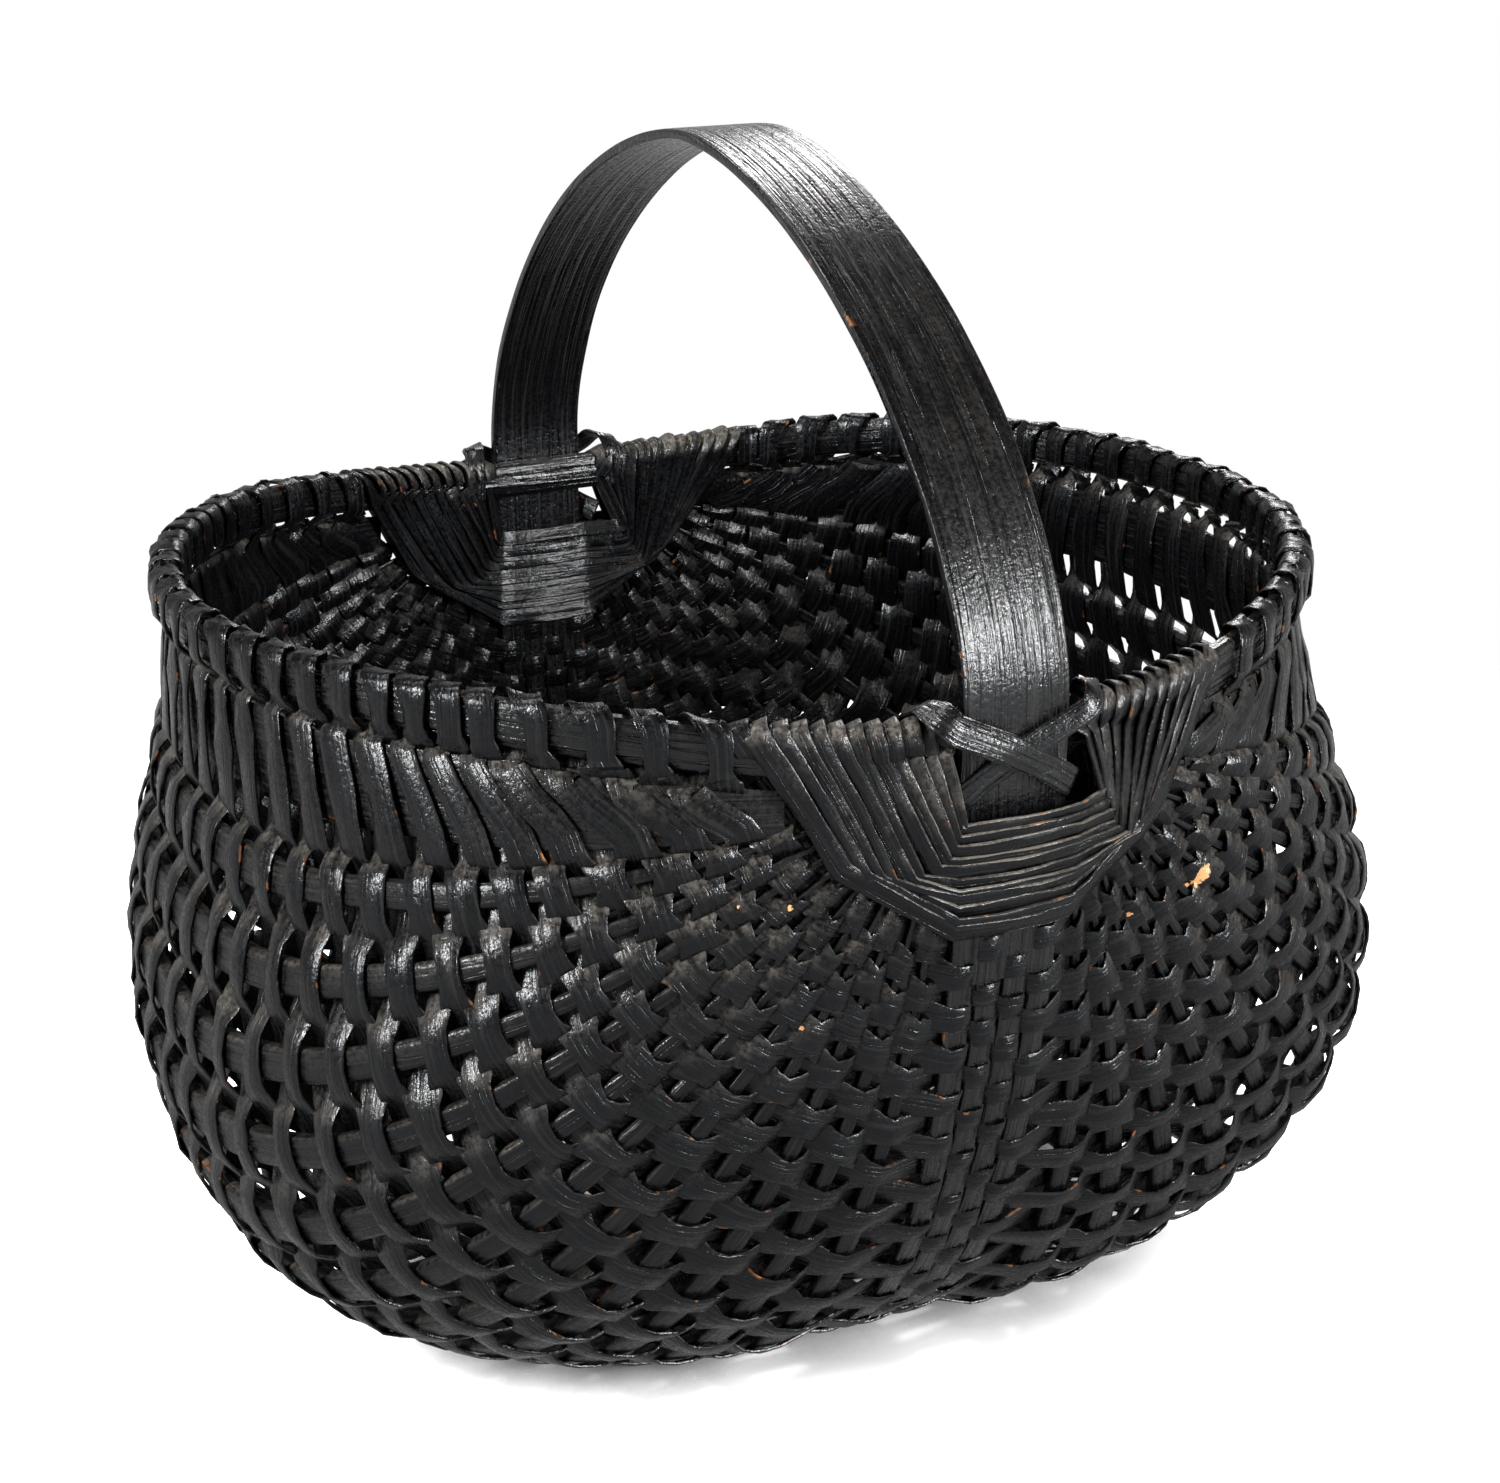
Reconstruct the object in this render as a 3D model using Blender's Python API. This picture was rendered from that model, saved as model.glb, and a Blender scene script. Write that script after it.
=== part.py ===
"""Buttocks basket: a split-wood basket of two lobes, woven on ribs round one upright hoop.

The upright hoop is the handle above the rim and the keel below it, where it is split into
four tongues. An oval rim hoop passes inside it at two ears. Ribs run from ear to ear, and
flat splints are woven across them, over the rim and back. X runs across the two lobes,
Y from ear to ear and Z up. Lengths are in metres.
"""
import bpy
import bmesh
import numpy as np
from mathutils import Matrix
from math import pi

# Upright hoop: handle above, keel below
handle_width = 0.026
hoop_thickness = 0.0025
hoop_half_length = 0.1277
hoop_depth = 0.1912
handle_rise = 0.0997
handle_lean = 0.0028
tongue_slit = 0.0006

# Rim hoop
rim_half_width = 0.1375
rim_height = 0.010
rim_thickness = 0.0045
rim_dip = 0.0098
rim_chamfer = 0.0014

# Lobes: radii of the wall round the hoop's edge, from the keel up to the rim
radius_near_keel = 0.1910
radius_at_half = 0.1825
radius_near_rim = 0.1378
left_waist_slope = 0.0060
right_waist_slope = 0.0200
ear_lift = 0.0050
ear_draw_in = 0.0028
foot_flat = 0.0023
foot_blend = 0.0006
left_foot_drop = 0.0108
right_foot_drop = 0.0021

# Ribs
rib_width = 0.0075
rib_thickness = 0.0024
upper_rib_width = 0.007
band_rib_width = 0.020
band_rib_thickness = 0.002
band_rib_below_rim = 0.005
upper_rib_gap = 0.0135
rib_tip_thickness = 0.0010
keel_margin = 0.001

# Splints
splint_thickness = 0.0008
lashing_width = 0.0052
lashing_rise = 0.0098
lashing_rim_start = 0.0024
lashing_end_hang = 0.002
ear_row_start = 0.0240
ear_row_end = 0.0560
ear_rim_start = 0.0140
ear_rim_end = 0.0540

# Clearances
seat_gap = 0.0003
facet_room = 0.0006
row_gap = 0.0005

# Counts
row_count = 27
rows_per_splint = 3
ribs_per_lobe = 12
foot_rib = 10
ear_turns = 6
tongue_count = 4
tongue_ring = 5

# Shares of the shape, chosen by hand
keel_squareness_share = 2.78
rim_squareness_share = 2.0
squareness_bulge_share = 0.24
arch_fullness_share = 1.69
dip_sharpness_share = 6
right_lobe_fullness_shares = (1.071, 1.086, 1.020)
foot_focus_share = 12
fan_pull_share = 0.18
fan_reach_share = 0.30
lean_to_ear_share = 3.0
rib_narrowing_share = 0.25
edge_overrun_share = 0.003
last_rib_room_share = 0.9
tip_tuck_share = 0.45
wrap_turn_shares = (0.0, 0.12, 0.38, 0.62, 0.88, 1.0)
wrap_end_corner = 4
ear_station_shares = (0.04, 0.30, 0.55, 0.76, 0.92)

# Segments
hoop_arch_segments = 23
rim_segments = 26
table_steps = 240

half_band = handle_width / 2
lobe_rim_radius = rim_half_width - half_band
rim_half_length = hoop_half_length - hoop_thickness / 2 - seat_gap - rim_thickness / 2
left, right = -1, 1


def unit(vectors):
    return vectors / np.linalg.norm(vectors, axis=-1, keepdims=True)


def power(value, exponent):
    """Signed power, for the superellipse outlines."""
    return np.sign(value) * np.abs(value) ** exponent


def lobe_knots(side):
    """Radii of a lobe's profile at even angle steps, and slopes that join them smoothly."""
    near_keel, at_half, near_rim = right_lobe_fullness_shares if side == right else (1, 1, 1)
    radii = np.array([hoop_depth, radius_near_keel * near_keel, radius_at_half * at_half,
                      radius_near_rim * near_rim, lobe_rim_radius])
    smooth = np.eye(len(radii))
    pull = np.diff(radii, append=0)
    pull[-1] = right_waist_slope if side == right else left_waist_slope
    for i in range(1, len(radii) - 1):
        smooth[i, i - 1:i + 2] = (1, 4, 1)
        pull[i] = 3 * (radii[i + 1] - radii[i - 1])
    return radii, np.linalg.solve(smooth, pull)


profiles = {side: lobe_knots(side) for side in (left, right)}


def lobe_radius(side, t):
    """Radius of the lobe at angle share t, 0 straight down and 1 level with the rim."""
    radii, slopes = profiles[side]
    spans = len(radii) - 1
    first = np.clip((t * spans).astype(int), 0, spans - 1)
    u = t * spans - first
    bend = u ** 2 * (3 - 2 * u)
    return (radii[first] * (1 - bend) + radii[first + 1] * bend
            + slopes[first] * u * (1 - u) ** 2 - slopes[first + 1] * u ** 2 * (1 - u))


def dip(v):
    """How far the rim drops at the ears."""
    return rim_dip * np.abs(np.cos(pi * v)) ** dip_sharpness_share


def flattened(z):
    """Heights with the foot's flat: level below it, and eased into the round wall above it."""
    above = z - foot_level
    eased_height = np.clip(above + foot_blend, 0, 2 * foot_blend) ** 2 / (4 * foot_blend)
    return foot_level + np.where(above > foot_blend, above, eased_height)


def wall_point(side, t, v):
    """Middle of the wall: t from the keel's edge to the rim, v from the front ear to the back.

    Each level is a superellipse in polar form, so v is a share of half a turn.
    """
    t, v = np.broadcast_arrays(np.asarray(t, float), np.asarray(v, float))
    swell = np.sin(pi * t)
    squareness = (keel_squareness_share * (1 - t) + rim_squareness_share * t
                  + squareness_bulge_share * swell)
    across, along = np.sin(pi * v), np.cos(pi * v)
    radius = (np.abs(across) ** squareness + np.abs(along) ** squareness) ** (-1 / squareness)
    reach = lobe_radius(side, t) * radius * across
    length = hoop_half_length * (1 - t) + rim_half_length * t - ear_draw_in * swell
    x = side * (half_band + reach * np.sin(t * pi / 2))
    y = -length * radius * along
    drop = (left_foot_drop if side == left else right_foot_drop) * across ** foot_focus_share
    z = -reach * np.cos(t * pi / 2) + ear_lift * swell * (1 - across) - t * dip(v)
    z = z - drop * np.sin(pi * np.sqrt(t)) ** 2
    return np.stack([x, y, flattened(z)], -1)


def lowest_wall_level():
    t, v = np.meshgrid(np.linspace(0, 1, table_steps), np.linspace(0, 1, table_steps))
    return min(wall_point(side, t, v)[..., 2].min() for side in (left, right))


foot_level = -2 * hoop_depth
foot_level = lowest_wall_level() + foot_flat


def arc_shares(points):
    """Distance along a line of points, as a share of its length, and that length."""
    steps = np.linalg.norm(np.diff(points, axis=0), axis=1)
    run = np.concatenate([[0], np.cumsum(steps)])
    return run / run[-1], run[-1]


table_v = np.linspace(0, 1, table_steps)
keel_shares, keel_length = arc_shares(wall_point(left, 0, table_v))
rim_shares, rim_length = arc_shares(wall_point(left, 1, table_v))


def v_on_keel(q):
    return np.interp(q, keel_shares, table_v)


def v_on_rim(q):
    """Rows take more of the rim than of the keel next to the ears, where they fan out."""
    keel_marks = [0, ear_row_start / keel_length, ear_row_end / keel_length]
    rim_marks = [0, ear_rim_start / rim_length, ear_rim_end / rim_length]
    keel_marks = keel_marks + [1 - mark for mark in reversed(keel_marks)]
    rim_marks = rim_marks + [1 - mark for mark in reversed(rim_marks)]
    return np.interp(np.interp(q, keel_marks, rim_marks), rim_shares, table_v)


def row_v(q, f):
    """Where row line q crosses rib line f, 0 under the rim and 1 beside the keel."""
    v = v_on_keel(q) + (v_on_rim(q) - v_on_keel(q)) * (1 - np.clip(f, 0, 1)) ** lean_to_ear_share
    near = np.minimum(v, 1 - v)
    pull = np.clip(1 - np.minimum(q, 1 - q) / fan_reach_share, 0, 1) ** 2
    shift = near * fan_pull_share * pull * 4 * np.clip(f, 0, 1) * (1 - np.clip(f, 0, 1))
    return v - shift * np.sign(1 / 2 - v)


rib_top = rim_height / 2 + band_rib_below_rim


def wall_span(side, v):
    """Length of the wall between the rim's clearance and the keel's, with its table."""
    t = np.linspace(1, 0, table_steps)
    points = wall_point(side, t, v)
    steps = np.linalg.norm(np.diff(points, axis=0), axis=1)
    run = np.concatenate([[0], np.cumsum(steps)])
    return t, run, run[-1] - rib_top - keel_margin


def grid_point(side, f, q):
    """Middle of the wall on rib line f and row line q."""
    v = row_v(q, f)
    t, run, span = wall_span(side, v)
    return wall_point(side, np.interp(rib_top + f * span, run, t), v)


def grid_frame(side, f, q):
    """Point and outward normal of the wall."""
    step = 1 / table_steps
    along = grid_point(side, f, min(q + step, 1 - step)) - grid_point(side, f, max(q - step, step))
    down = grid_point(side, min(f + step, 1), q) - grid_point(side, max(f - step, 0), q)
    normal = unit(np.cross(down, along)) * side
    return grid_point(side, f, q), normal


def keel_frame(x, q):
    """Point and outward normal of the middle of the keel, at x across it."""
    v = v_on_keel(q)
    step = 1 / table_steps ** 2
    a, b = wall_point(left, 0, max(v - step, 0)), wall_point(left, 0, min(v + step, 1))
    point = wall_point(left, 0, v)
    point[0] = x
    along = unit(b - a)
    return point, np.array([0, along[2], -along[1]])


def rim_frame(side, v):
    """Centre of the rim's section and its level outward direction."""
    step = 1 / table_steps ** 2
    low, high = max(v - step, 0), min(v + step, 1)
    along = unit(wall_point(side, 1, high) - wall_point(side, 1, low))
    out = unit(np.array([along[1], -along[0], 0])) * side
    return wall_point(side, 1, v), out


mid_span = min(wall_span(side, 1 / 2)[2] for side in (left, right))


def rib_lines():
    """Rib lines of one lobe from the rim down, as pairs of upper and lower edge."""
    band = band_rib_width / mid_span
    upper = band + (upper_rib_gap + upper_rib_width / 2) / mid_span
    lower_ribs = ribs_per_lobe - 2
    pitch = (1 - upper) / (lower_ribs + last_rib_room_share)
    lines = [(0, band)]
    for i in range(lower_ribs + 1):
        width = rib_width if i else upper_rib_width
        centre = upper + pitch * i
        lines.append((centre - width / mid_span / 2, centre + width / mid_span / 2))
    return lines


ribs = rib_lines()


def rib_edges(side, index, q):
    """Edges of a rib at row line q: it narrows a little faster than the wall's span does."""
    upper, lower = ribs[index]
    if index == 0:
        return upper, lower
    centre = (upper + lower) / 2
    span = wall_span(side, row_v(q, centre))[2]
    half = (lower - upper) / 2 * min(span / mid_span, 1) ** rib_narrowing_share
    return centre - half, centre + half


def is_flat(index):
    """The band under the rim and the rib the lobe stands on are flat, the others are lens-shaped."""
    return index in (0, foot_rib)


def rib_depth(side, index, q):
    """Thickness of a rib at row line q: it thins as it narrows."""
    upper, lower = rib_edges(side, index, q)
    width = (lower - upper) * wall_span(side, row_v(q, (upper + lower) / 2))[2]
    full_width, thickness = upper_rib_width, rib_thickness
    if index == 0:
        full_width, thickness = band_rib_width, band_rib_thickness
    return max(thickness * min(width / full_width, 1), rib_tip_thickness)


def skin(name, rings, faces, material):
    """One closed body from rings of points and faces given as (ring, corner) pairs."""
    mesh = bpy.data.meshes.new(name)
    body = bmesh.new()
    verts = [[body.verts.new(point) for point in ring] for ring in rings]
    for face in faces:
        body.faces.new([verts[r][c] for r, c in face])
    bmesh.ops.recalc_face_normals(body, faces=body.faces)
    body.to_mesh(mesh)
    body.free()
    thing = bpy.data.objects.new(name, mesh)
    thing.data.materials.append(material)
    bpy.context.scene.collection.objects.link(thing)
    return thing


def sweep(name, rings, material, closed=False):
    """A body swept through rings that all have the same number of corners."""
    corners = range(len(rings[0]))
    last = len(rings) if closed else len(rings) - 1
    faces = []
    for r in range(last):
        ahead = (r + 1) % len(rings)
        for c in corners:
            side = (c + 1) % len(corners)
            here, next_here, there, next_there = (r, c), (r, side), (ahead, c), (ahead, side)
            if c < len(corners) / 2:
                faces += [[here, next_here, next_there], [here, next_there, there]]
            else:
                faces += [[here, next_here, there], [next_here, next_there, there]]
    if not closed:
        faces.append([(0, c) for c in corners])
        faces.append([(last, c) for c in reversed(corners)])
    return skin(name, rings, faces, material)


def wood(name, colour, roughness):
    material = bpy.data.materials.new(name)
    material.use_nodes = True
    shader = material.node_tree.nodes["Principled BSDF"]
    shader.inputs["Base Color"].default_value = (*colour, 1)
    shader.inputs["Roughness"].default_value = roughness
    shader.inputs["Metallic"].default_value = 0
    return material


def strip_ring(low, high, offset, thickness=splint_thickness):
    """Cross-section of a flat splint between two (point, normal) edges, at an offset outward."""
    inner, outer = offset - thickness / 2, offset + thickness / 2
    (p, n), (r, m) = low, high
    return [p + n * inner, r + m * inner, r + m * outer, p + n * outer]


def make_rib(side, index, material):
    """A rib from ear to ear, its tips thinned and tucked under the ear's last turn."""
    tuck = (ear_row_end - tip_tuck_share * ear_pitch) / keel_length
    stations = [tuck] + row_edges() + [1 - tuck]
    rings = []
    for i, q in enumerate(stations):
        upper, lower = rib_edges(side, index, q)
        depth = rib_depth(side, index, q)
        if i in (0, 1, len(stations) - 2, len(stations) - 1):
            depth = rib_tip_thickness
        if is_flat(index):
            edges = [grid_frame(side, f, q) for f in (upper, lower)]
            rings.append(strip_ring(edges[0], edges[1], 0, depth))
        else:
            point, normal = grid_frame(side, (upper + lower) / 2, q)
            rings.append([grid_point(side, upper, q), point - normal * depth / 2,
                          grid_point(side, lower, q), point + normal * depth / 2])
    side_name = "left" if side == left else "right"
    return sweep(f"rib_{side_name}_{index + 1:02d}", rings, material)


def keel_path():
    """Points and outward normals of the keel, with corners where the rows' edges cross it."""
    turns = [(ear_row_start + ear_pitch * turn) / keel_length for turn in range(ear_turns + 1)]
    stations = [0] + turns[::2] + row_edges() + [1 - q for q in reversed(turns[::2])] + [1]
    return [keel_frame(0, q) for q in stations]


def arch_path():
    """Points and outward normals of the handle's arch, from the back ear over to the front."""
    path = []
    bend = np.linspace(0, pi, table_steps * 4)
    y = hoop_half_length * power(np.cos(bend), 2 / arch_fullness_share)
    z = handle_rise * np.sin(bend) ** (2 / arch_fullness_share)
    y = y + handle_lean * z / handle_rise
    line = np.stack([0 * y, y, z], 1)
    shares, _ = arc_shares(line)
    for share in np.linspace(0, 1, hoop_arch_segments + 1)[1:-1]:
        step = 1 / table_steps
        point, before, after = (np.array([np.interp(s, shares, line[:, i]) for i in range(3)])
                                for s in (share, share - step, share + step))
        along = unit(after - before)
        path.append((point, np.array([0, along[2], -along[1]])))
    return path


def hoop_ring(point, normal, lines):
    """Cross-section of the hoop: points along its inner face, then along its outer face."""
    ring = []
    for offset in (-hoop_thickness / 2, hoop_thickness / 2):
        ring += [point + normal * offset + np.array([x, 0, 0]) for x in lines]
    return ring


def make_hoop(material):
    """The upright hoop, whose keel is split into tongues that stay joined at both ends."""
    keel, arch = keel_path(), arch_path()
    tongue = (handle_width - tongue_slit * (tongue_count - 1)) / tongue_count
    lines = []
    for i in range(tongue_count):
        start = i * (tongue + tongue_slit) - half_band
        lines += [start, start + tongue]
    split = range(tongue_ring, len(keel) - 1 - tongue_ring)
    ends = [lines[0], lines[-1]]
    rings = []
    for r, (point, normal) in enumerate(keel + arch):
        is_split = split.start <= r <= split.stop
        rings.append(hoop_ring(point, normal, lines if is_split else ends))
    faces = []
    for r, ring in enumerate(rings):
        ahead = (r + 1) % len(rings)
        width, next_width = len(ring) // 2, len(rings[ahead]) // 2
        if r in split:
            for c in range(0, width, 2):
                for base in (0, width):
                    faces.append([(r, base + c), (r, base + c + 1),
                                  (ahead, base + c + 1), (ahead, base + c)])
            walls = range(width)
        else:
            for face in (0, 1):
                here = [(r, c + face * width) for c in range(width)]
                there = [(ahead, c + face * next_width) for c in range(next_width)]
                faces.append(here + there[::-1])
            walls = ()
            for c, d in ((0, 0), (width - 1, next_width - 1)):
                faces.append([(r, c), (ahead, d), (ahead, next_width + d), (r, width + c)])
        for c in walls:
            faces.append([(r, c), (ahead, c), (ahead, width + c), (r, width + c)])
    width = len(lines)
    for r in (split.start, split.stop):
        for c in range(1, width - 1, 2):
            faces.append([(r, c), (r, c + 1), (r, width + c + 1), (r, width + c)])
    return skin("handle_hoop", rings, faces, material)


def rim_section():
    """Corners of the rim's section as (outward, upward), from outside bottom to inside bottom."""
    x, z = rim_thickness / 2, rim_height / 2
    return [(x, -z), (x, z - rim_chamfer), (x - rim_chamfer, z),
            (rim_chamfer - x, z), (-x, z - rim_chamfer), (-x, -z)]


def rim_point(side, v, out, up):
    centre, outward = rim_frame(side, v)
    return centre + outward * out + np.array([0, 0, up])


def make_rim(material):
    rings = []
    for side, ends in ((right, (0, 1)), (left, (1, 0))):
        for share in np.linspace(*ends, rim_segments + 1):
            v = np.interp(share, rim_shares, table_v)
            rings.append([rim_point(side, v, out, up) for out, up in rim_section()])
    return sweep("rim_hoop", rings, material, closed=True)


def wrap_corners(distance):
    """The rim's section grown by a distance, for the faces of a splint that wraps it."""
    corners = rim_section()
    grown = []
    for i, (x, z) in enumerate(corners):
        if i in (0, len(corners) - 1):
            grown.append((x + np.sign(x) * distance, z - seat_gap))
            continue
        before = np.subtract(corners[i], corners[i - 1])
        after = np.subtract(corners[i + 1], corners[i])
        first, second = unit(np.array([before[1], -before[0]])), unit(np.array([after[1], -after[0]]))
        first, second = (-n if np.dot(n, (x, z)) < 0 else n for n in (first, second))
        mitre = first + second
        grown.append(tuple(np.array([x, z]) + mitre * distance / (1 + np.dot(first, second))))
    return grown


wrap_gap = seat_gap + facet_room
wrap_inner = wrap_corners(wrap_gap)
wrap_outer = wrap_corners(wrap_gap + splint_thickness)


def rim_ring(side, corner, low_v, high_v):
    """Section of a splint at one corner of its wrap round the rim."""
    ring = []
    for v, (out, up) in ((low_v, wrap_inner[corner]), (high_v, wrap_inner[corner]),
                         (high_v, wrap_outer[corner]), (low_v, wrap_outer[corner])):
        ring.append(rim_point(side, v, out, up))
    return ring


def wrap_ring(side, corner, low_q, high_q):
    return rim_ring(side, corner, v_on_rim(low_q), v_on_rim(high_q))


def wrap(side, outer, inner, corners):
    """Rings of a wrap from the outer row's lines to the inner row's, at the given corners."""
    rings = []
    for corner in corners:
        turn = wrap_turn_shares[corner]
        lines = [a + (b - a) * turn for a, b in zip(outer, inner)]
        rings.append(wrap_ring(side, corner, *lines))
    return rings


def wall_ring(side, f, lines, offset, face=1):
    """Section of a splint on the wall. Its face is 1 on the way out of an outside wrap, else -1."""
    edges = [grid_frame(side, f, q) for q in lines]
    return strip_ring(*edges, offset, face * splint_thickness)


def keel_ring(side, lines, offset, face=1):
    edges = [keel_frame(side * (half_band + seat_gap), q) for q in lines]
    return strip_ring(*edges, offset, face * splint_thickness)


def over(depth):
    """Offset of a splint that lies on the outside of a piece of the given thickness."""
    return depth / 2 + seat_gap + splint_thickness / 2


def under(depth):
    return -over(depth) - facet_room


def row_body(lines, row):
    """Rings of one row from below the left rim, across the keel, to below the right rim."""
    face = 1 if row % 2 == 0 else -1
    rings = []
    for side in (left, right):
        lobe = []
        for index in range(ribs_per_lobe):
            station = index + 1
            outside = (row + station) % 2 == 0
            depth = max(rib_depth(side, index, q) for q in lines)
            offset = over(depth) if outside else under(depth)
            upper, lower = rib_edges(side, index, np.mean(lines))
            places = [(upper + lower) / 2]
            if is_flat(index):
                places = [upper - edge_overrun_share, lower + edge_overrun_share]
            lobe += [wall_ring(side, f, lines, offset, face) for f in places]
        outside = (row + ribs_per_lobe + 1) % 2 == 0
        offset = over(hoop_thickness) if outside else under(hoop_thickness)
        lobe.append(keel_ring(side, lines, offset, face))
        rings += lobe if side == left else reversed(lobe)
    return rings


def row_edges():
    """Row lines between the woven rows, with the first row's outer edge and the last's."""
    first = field_start / keel_length
    return list(np.linspace(first, 1 - first, row_count + 1))


def row_lines(row):
    """Edges of one woven row, as row lines."""
    low, high = row_edges()[row:row + 2]
    return low + row_gap / 2 / keel_length, high - row_gap / 2 / keel_length


def make_splint(number, material):
    """A splint woven over and under for a few rows, carried over the rim from row to row."""
    rows = range(number * rows_per_splint, (number + 1) * rows_per_splint)
    path = []
    for row in rows:
        start, end = (left, right) if row % 2 == 0 else (right, left)
        lines = row_lines(row)
        body = row_body(lines, row)
        body = body if start == left else body[::-1]
        corners = range(len(wrap_turn_shares))
        neighbour = row_lines(row - 1) if row > 0 else lines
        if row % 2 == 0:
            tail = corners[:wrap_end_corner] if row == rows[0] else corners
            path += reversed(wrap(start, lines, neighbour, tail))
            path += body
            if row == rows[-1]:
                after = row_lines(row + 1) if row + 1 < row_count else lines
                path += wrap(end, lines, after, corners[:wrap_end_corner])
            else:
                path += wrap(end, lines, row_lines(row + 1), corners)
        else:
            if row == rows[0]:
                path.append(wrap_ring(start, len(corners) - 1, *lines))
            path += body
            if row == rows[-1]:
                path.append(wrap_ring(end, len(corners) - 1, *lines))
    return sweep(f"splint_{number + 1:02d}", path, material)


ear_pitch = (ear_row_end - ear_row_start) / ear_turns
field_start = ear_row_end + ear_pitch / 2 + row_gap


def ear_lines(end, turn):
    """Edges of a turn of the ear's wound splint, counted from the rim down."""
    first = (ear_row_start + ear_pitch * turn) / keel_length
    last = first + (ear_pitch - row_gap) / keel_length
    return (first, last) if end == "front" else (1 - first, 1 - last)


def ear_row(lines, face):
    """One crossing of the ear's splint, outside with face 1 or inside with face -1."""
    rings = []
    wall_offset = face * (over(hoop_thickness) + facet_room)
    keel_offset = over(hoop_thickness) if face > 0 else under(hoop_thickness)
    for side in (left, right):
        lobe = [wall_ring(side, f, lines, wall_offset, face) for f in ear_station_shares]
        lobe.append(keel_ring(side, lines, keel_offset, face))
        rings += lobe if side == left else reversed(lobe)
    return rings


def make_ear(end, material):
    """One splint wound round the ear: across the keel outside, over the rim, back inside."""
    corners = range(len(wrap_turn_shares))
    path = []
    for turn in range(ear_turns):
        outer, inner = ear_lines(end, turn), ear_lines(end, turn + 1 / 2)
        before = ear_lines(end, turn - 1 / 2)
        path += reversed(wrap(left, outer, before, corners))
        path += ear_row(outer, 1)
        path += wrap(right, outer, inner, corners)
        path += reversed(ear_row(inner, -1))
    return sweep(f"{end}_ear_binding", path, material)


def hoop_face_ring(x, level, lift, height, lean_x=0, lean_y=1):
    """Upright section of the lashing beside the front of the hoop, lifted off its middle."""
    ring = []
    for half, face in ((height, -1), (-height, -1), (-height, 1), (height, 1)):
        shift = face * splint_thickness / 2
        ring.append(np.array([x + shift * lean_x, -hoop_half_length - lift - shift * lean_y,
                              level + half / 2]))
    return ring


def lashing_over_rim(side):
    """The lashing's end: from inside the rim over its top to the rim's outside."""
    near, far = lashing_rim_start, lashing_rim_start + lashing_width
    marks = [np.interp(mark / rim_length, rim_shares, table_v) for mark in (near, far)]
    rings = [rim_ring(side, corner, *marks) for corner in (4, 3, 2)]
    hang = np.array([0, 0, lashing_end_hang])
    return [[point - hang for point in rings[0]]] + rings


def eased(first, last):
    """The second ring, with a ring halfway before it to spread the splint's twist."""
    return [[(a + b) / 2 for a, b in zip(first, last)], last]


def make_lashing(end, material):
    """One splint crossed over the ear: down across the hoop, behind it and up across it again."""
    lift = over(hoop_thickness)
    low = -rim_dip - rim_height / 2 - facet_room - lashing_width / 2
    high = low + lashing_rise
    slope = lashing_rise / handle_width
    tall = lashing_width * np.sqrt(1 + slope ** 2)
    edge = half_band + splint_thickness
    meet = tall / slope / 2
    top = lift + splint_thickness + seat_gap
    middle = (low + high) / 2
    path = lashing_over_rim(left)
    path += eased(path[-1], hoop_face_ring(-edge, high, lift, tall))
    for x in (-meet, meet):
        path.append(hoop_face_ring(x, middle - slope * x, top, tall))
    path.append(hoop_face_ring(edge, low, lift, lashing_width, 1, 1))
    path.append(hoop_face_ring(edge + splint_thickness / 2, low, 0, lashing_width, 1, 0))
    path.append(hoop_face_ring(edge, low, -lift, lashing_width, 1, -1))
    path.append(hoop_face_ring(-edge, low, -lift, lashing_width, -1, -1))
    path.append(hoop_face_ring(-edge - splint_thickness / 2, low, 0, lashing_width, -1, 0))
    path.append(hoop_face_ring(-edge, low, lift, lashing_width, -1, 1))
    ending = lashing_over_rim(right)[::-1]
    path += eased(ending[0], hoop_face_ring(edge, high, lift, tall))[::-1] + ending
    if end == "back":
        path = [[point * np.array([1, -1, 1]) for point in ring] for ring in path]
    return sweep(f"{end}_lashing", path, material)


def clear_scene():
    for thing in list(bpy.data.objects):
        bpy.data.objects.remove(thing)


def stand_at_origin(things):
    """Move the basket so that it stands on Z zero with its box centred on X and Y zero."""
    points = np.array([vertex.co for thing in things for vertex in thing.data.vertices])
    low, high = points.min(0), points.max(0)
    shift = Matrix.Translation((-(low[0] + high[0]) / 2, -(low[1] + high[1]) / 2, -low[2]))
    for thing in things:
        thing.data.transform(shift)


def build():
    clear_scene()
    hoop_wood = wood("hoop_wood", (0.020, 0.020, 0.022), 0.35)
    rib_wood = wood("rib_wood", (0.018, 0.018, 0.019), 0.5)
    splint_wood = wood("splint_wood", (0.022, 0.022, 0.025), 0.4)
    binding_wood = wood("binding_wood", (0.030, 0.028, 0.026), 0.45)
    things = [make_hoop(hoop_wood), make_rim(hoop_wood)]
    for side in (left, right):
        for index in range(ribs_per_lobe):
            things.append(make_rib(side, index, rib_wood))
    for number in range(row_count // rows_per_splint):
        things.append(make_splint(number, splint_wood))
    for end in ("front", "back"):
        things.append(make_ear(end, binding_wood))
        things.append(make_lashing(end, binding_wood))
    stand_at_origin(things)


build()
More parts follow.
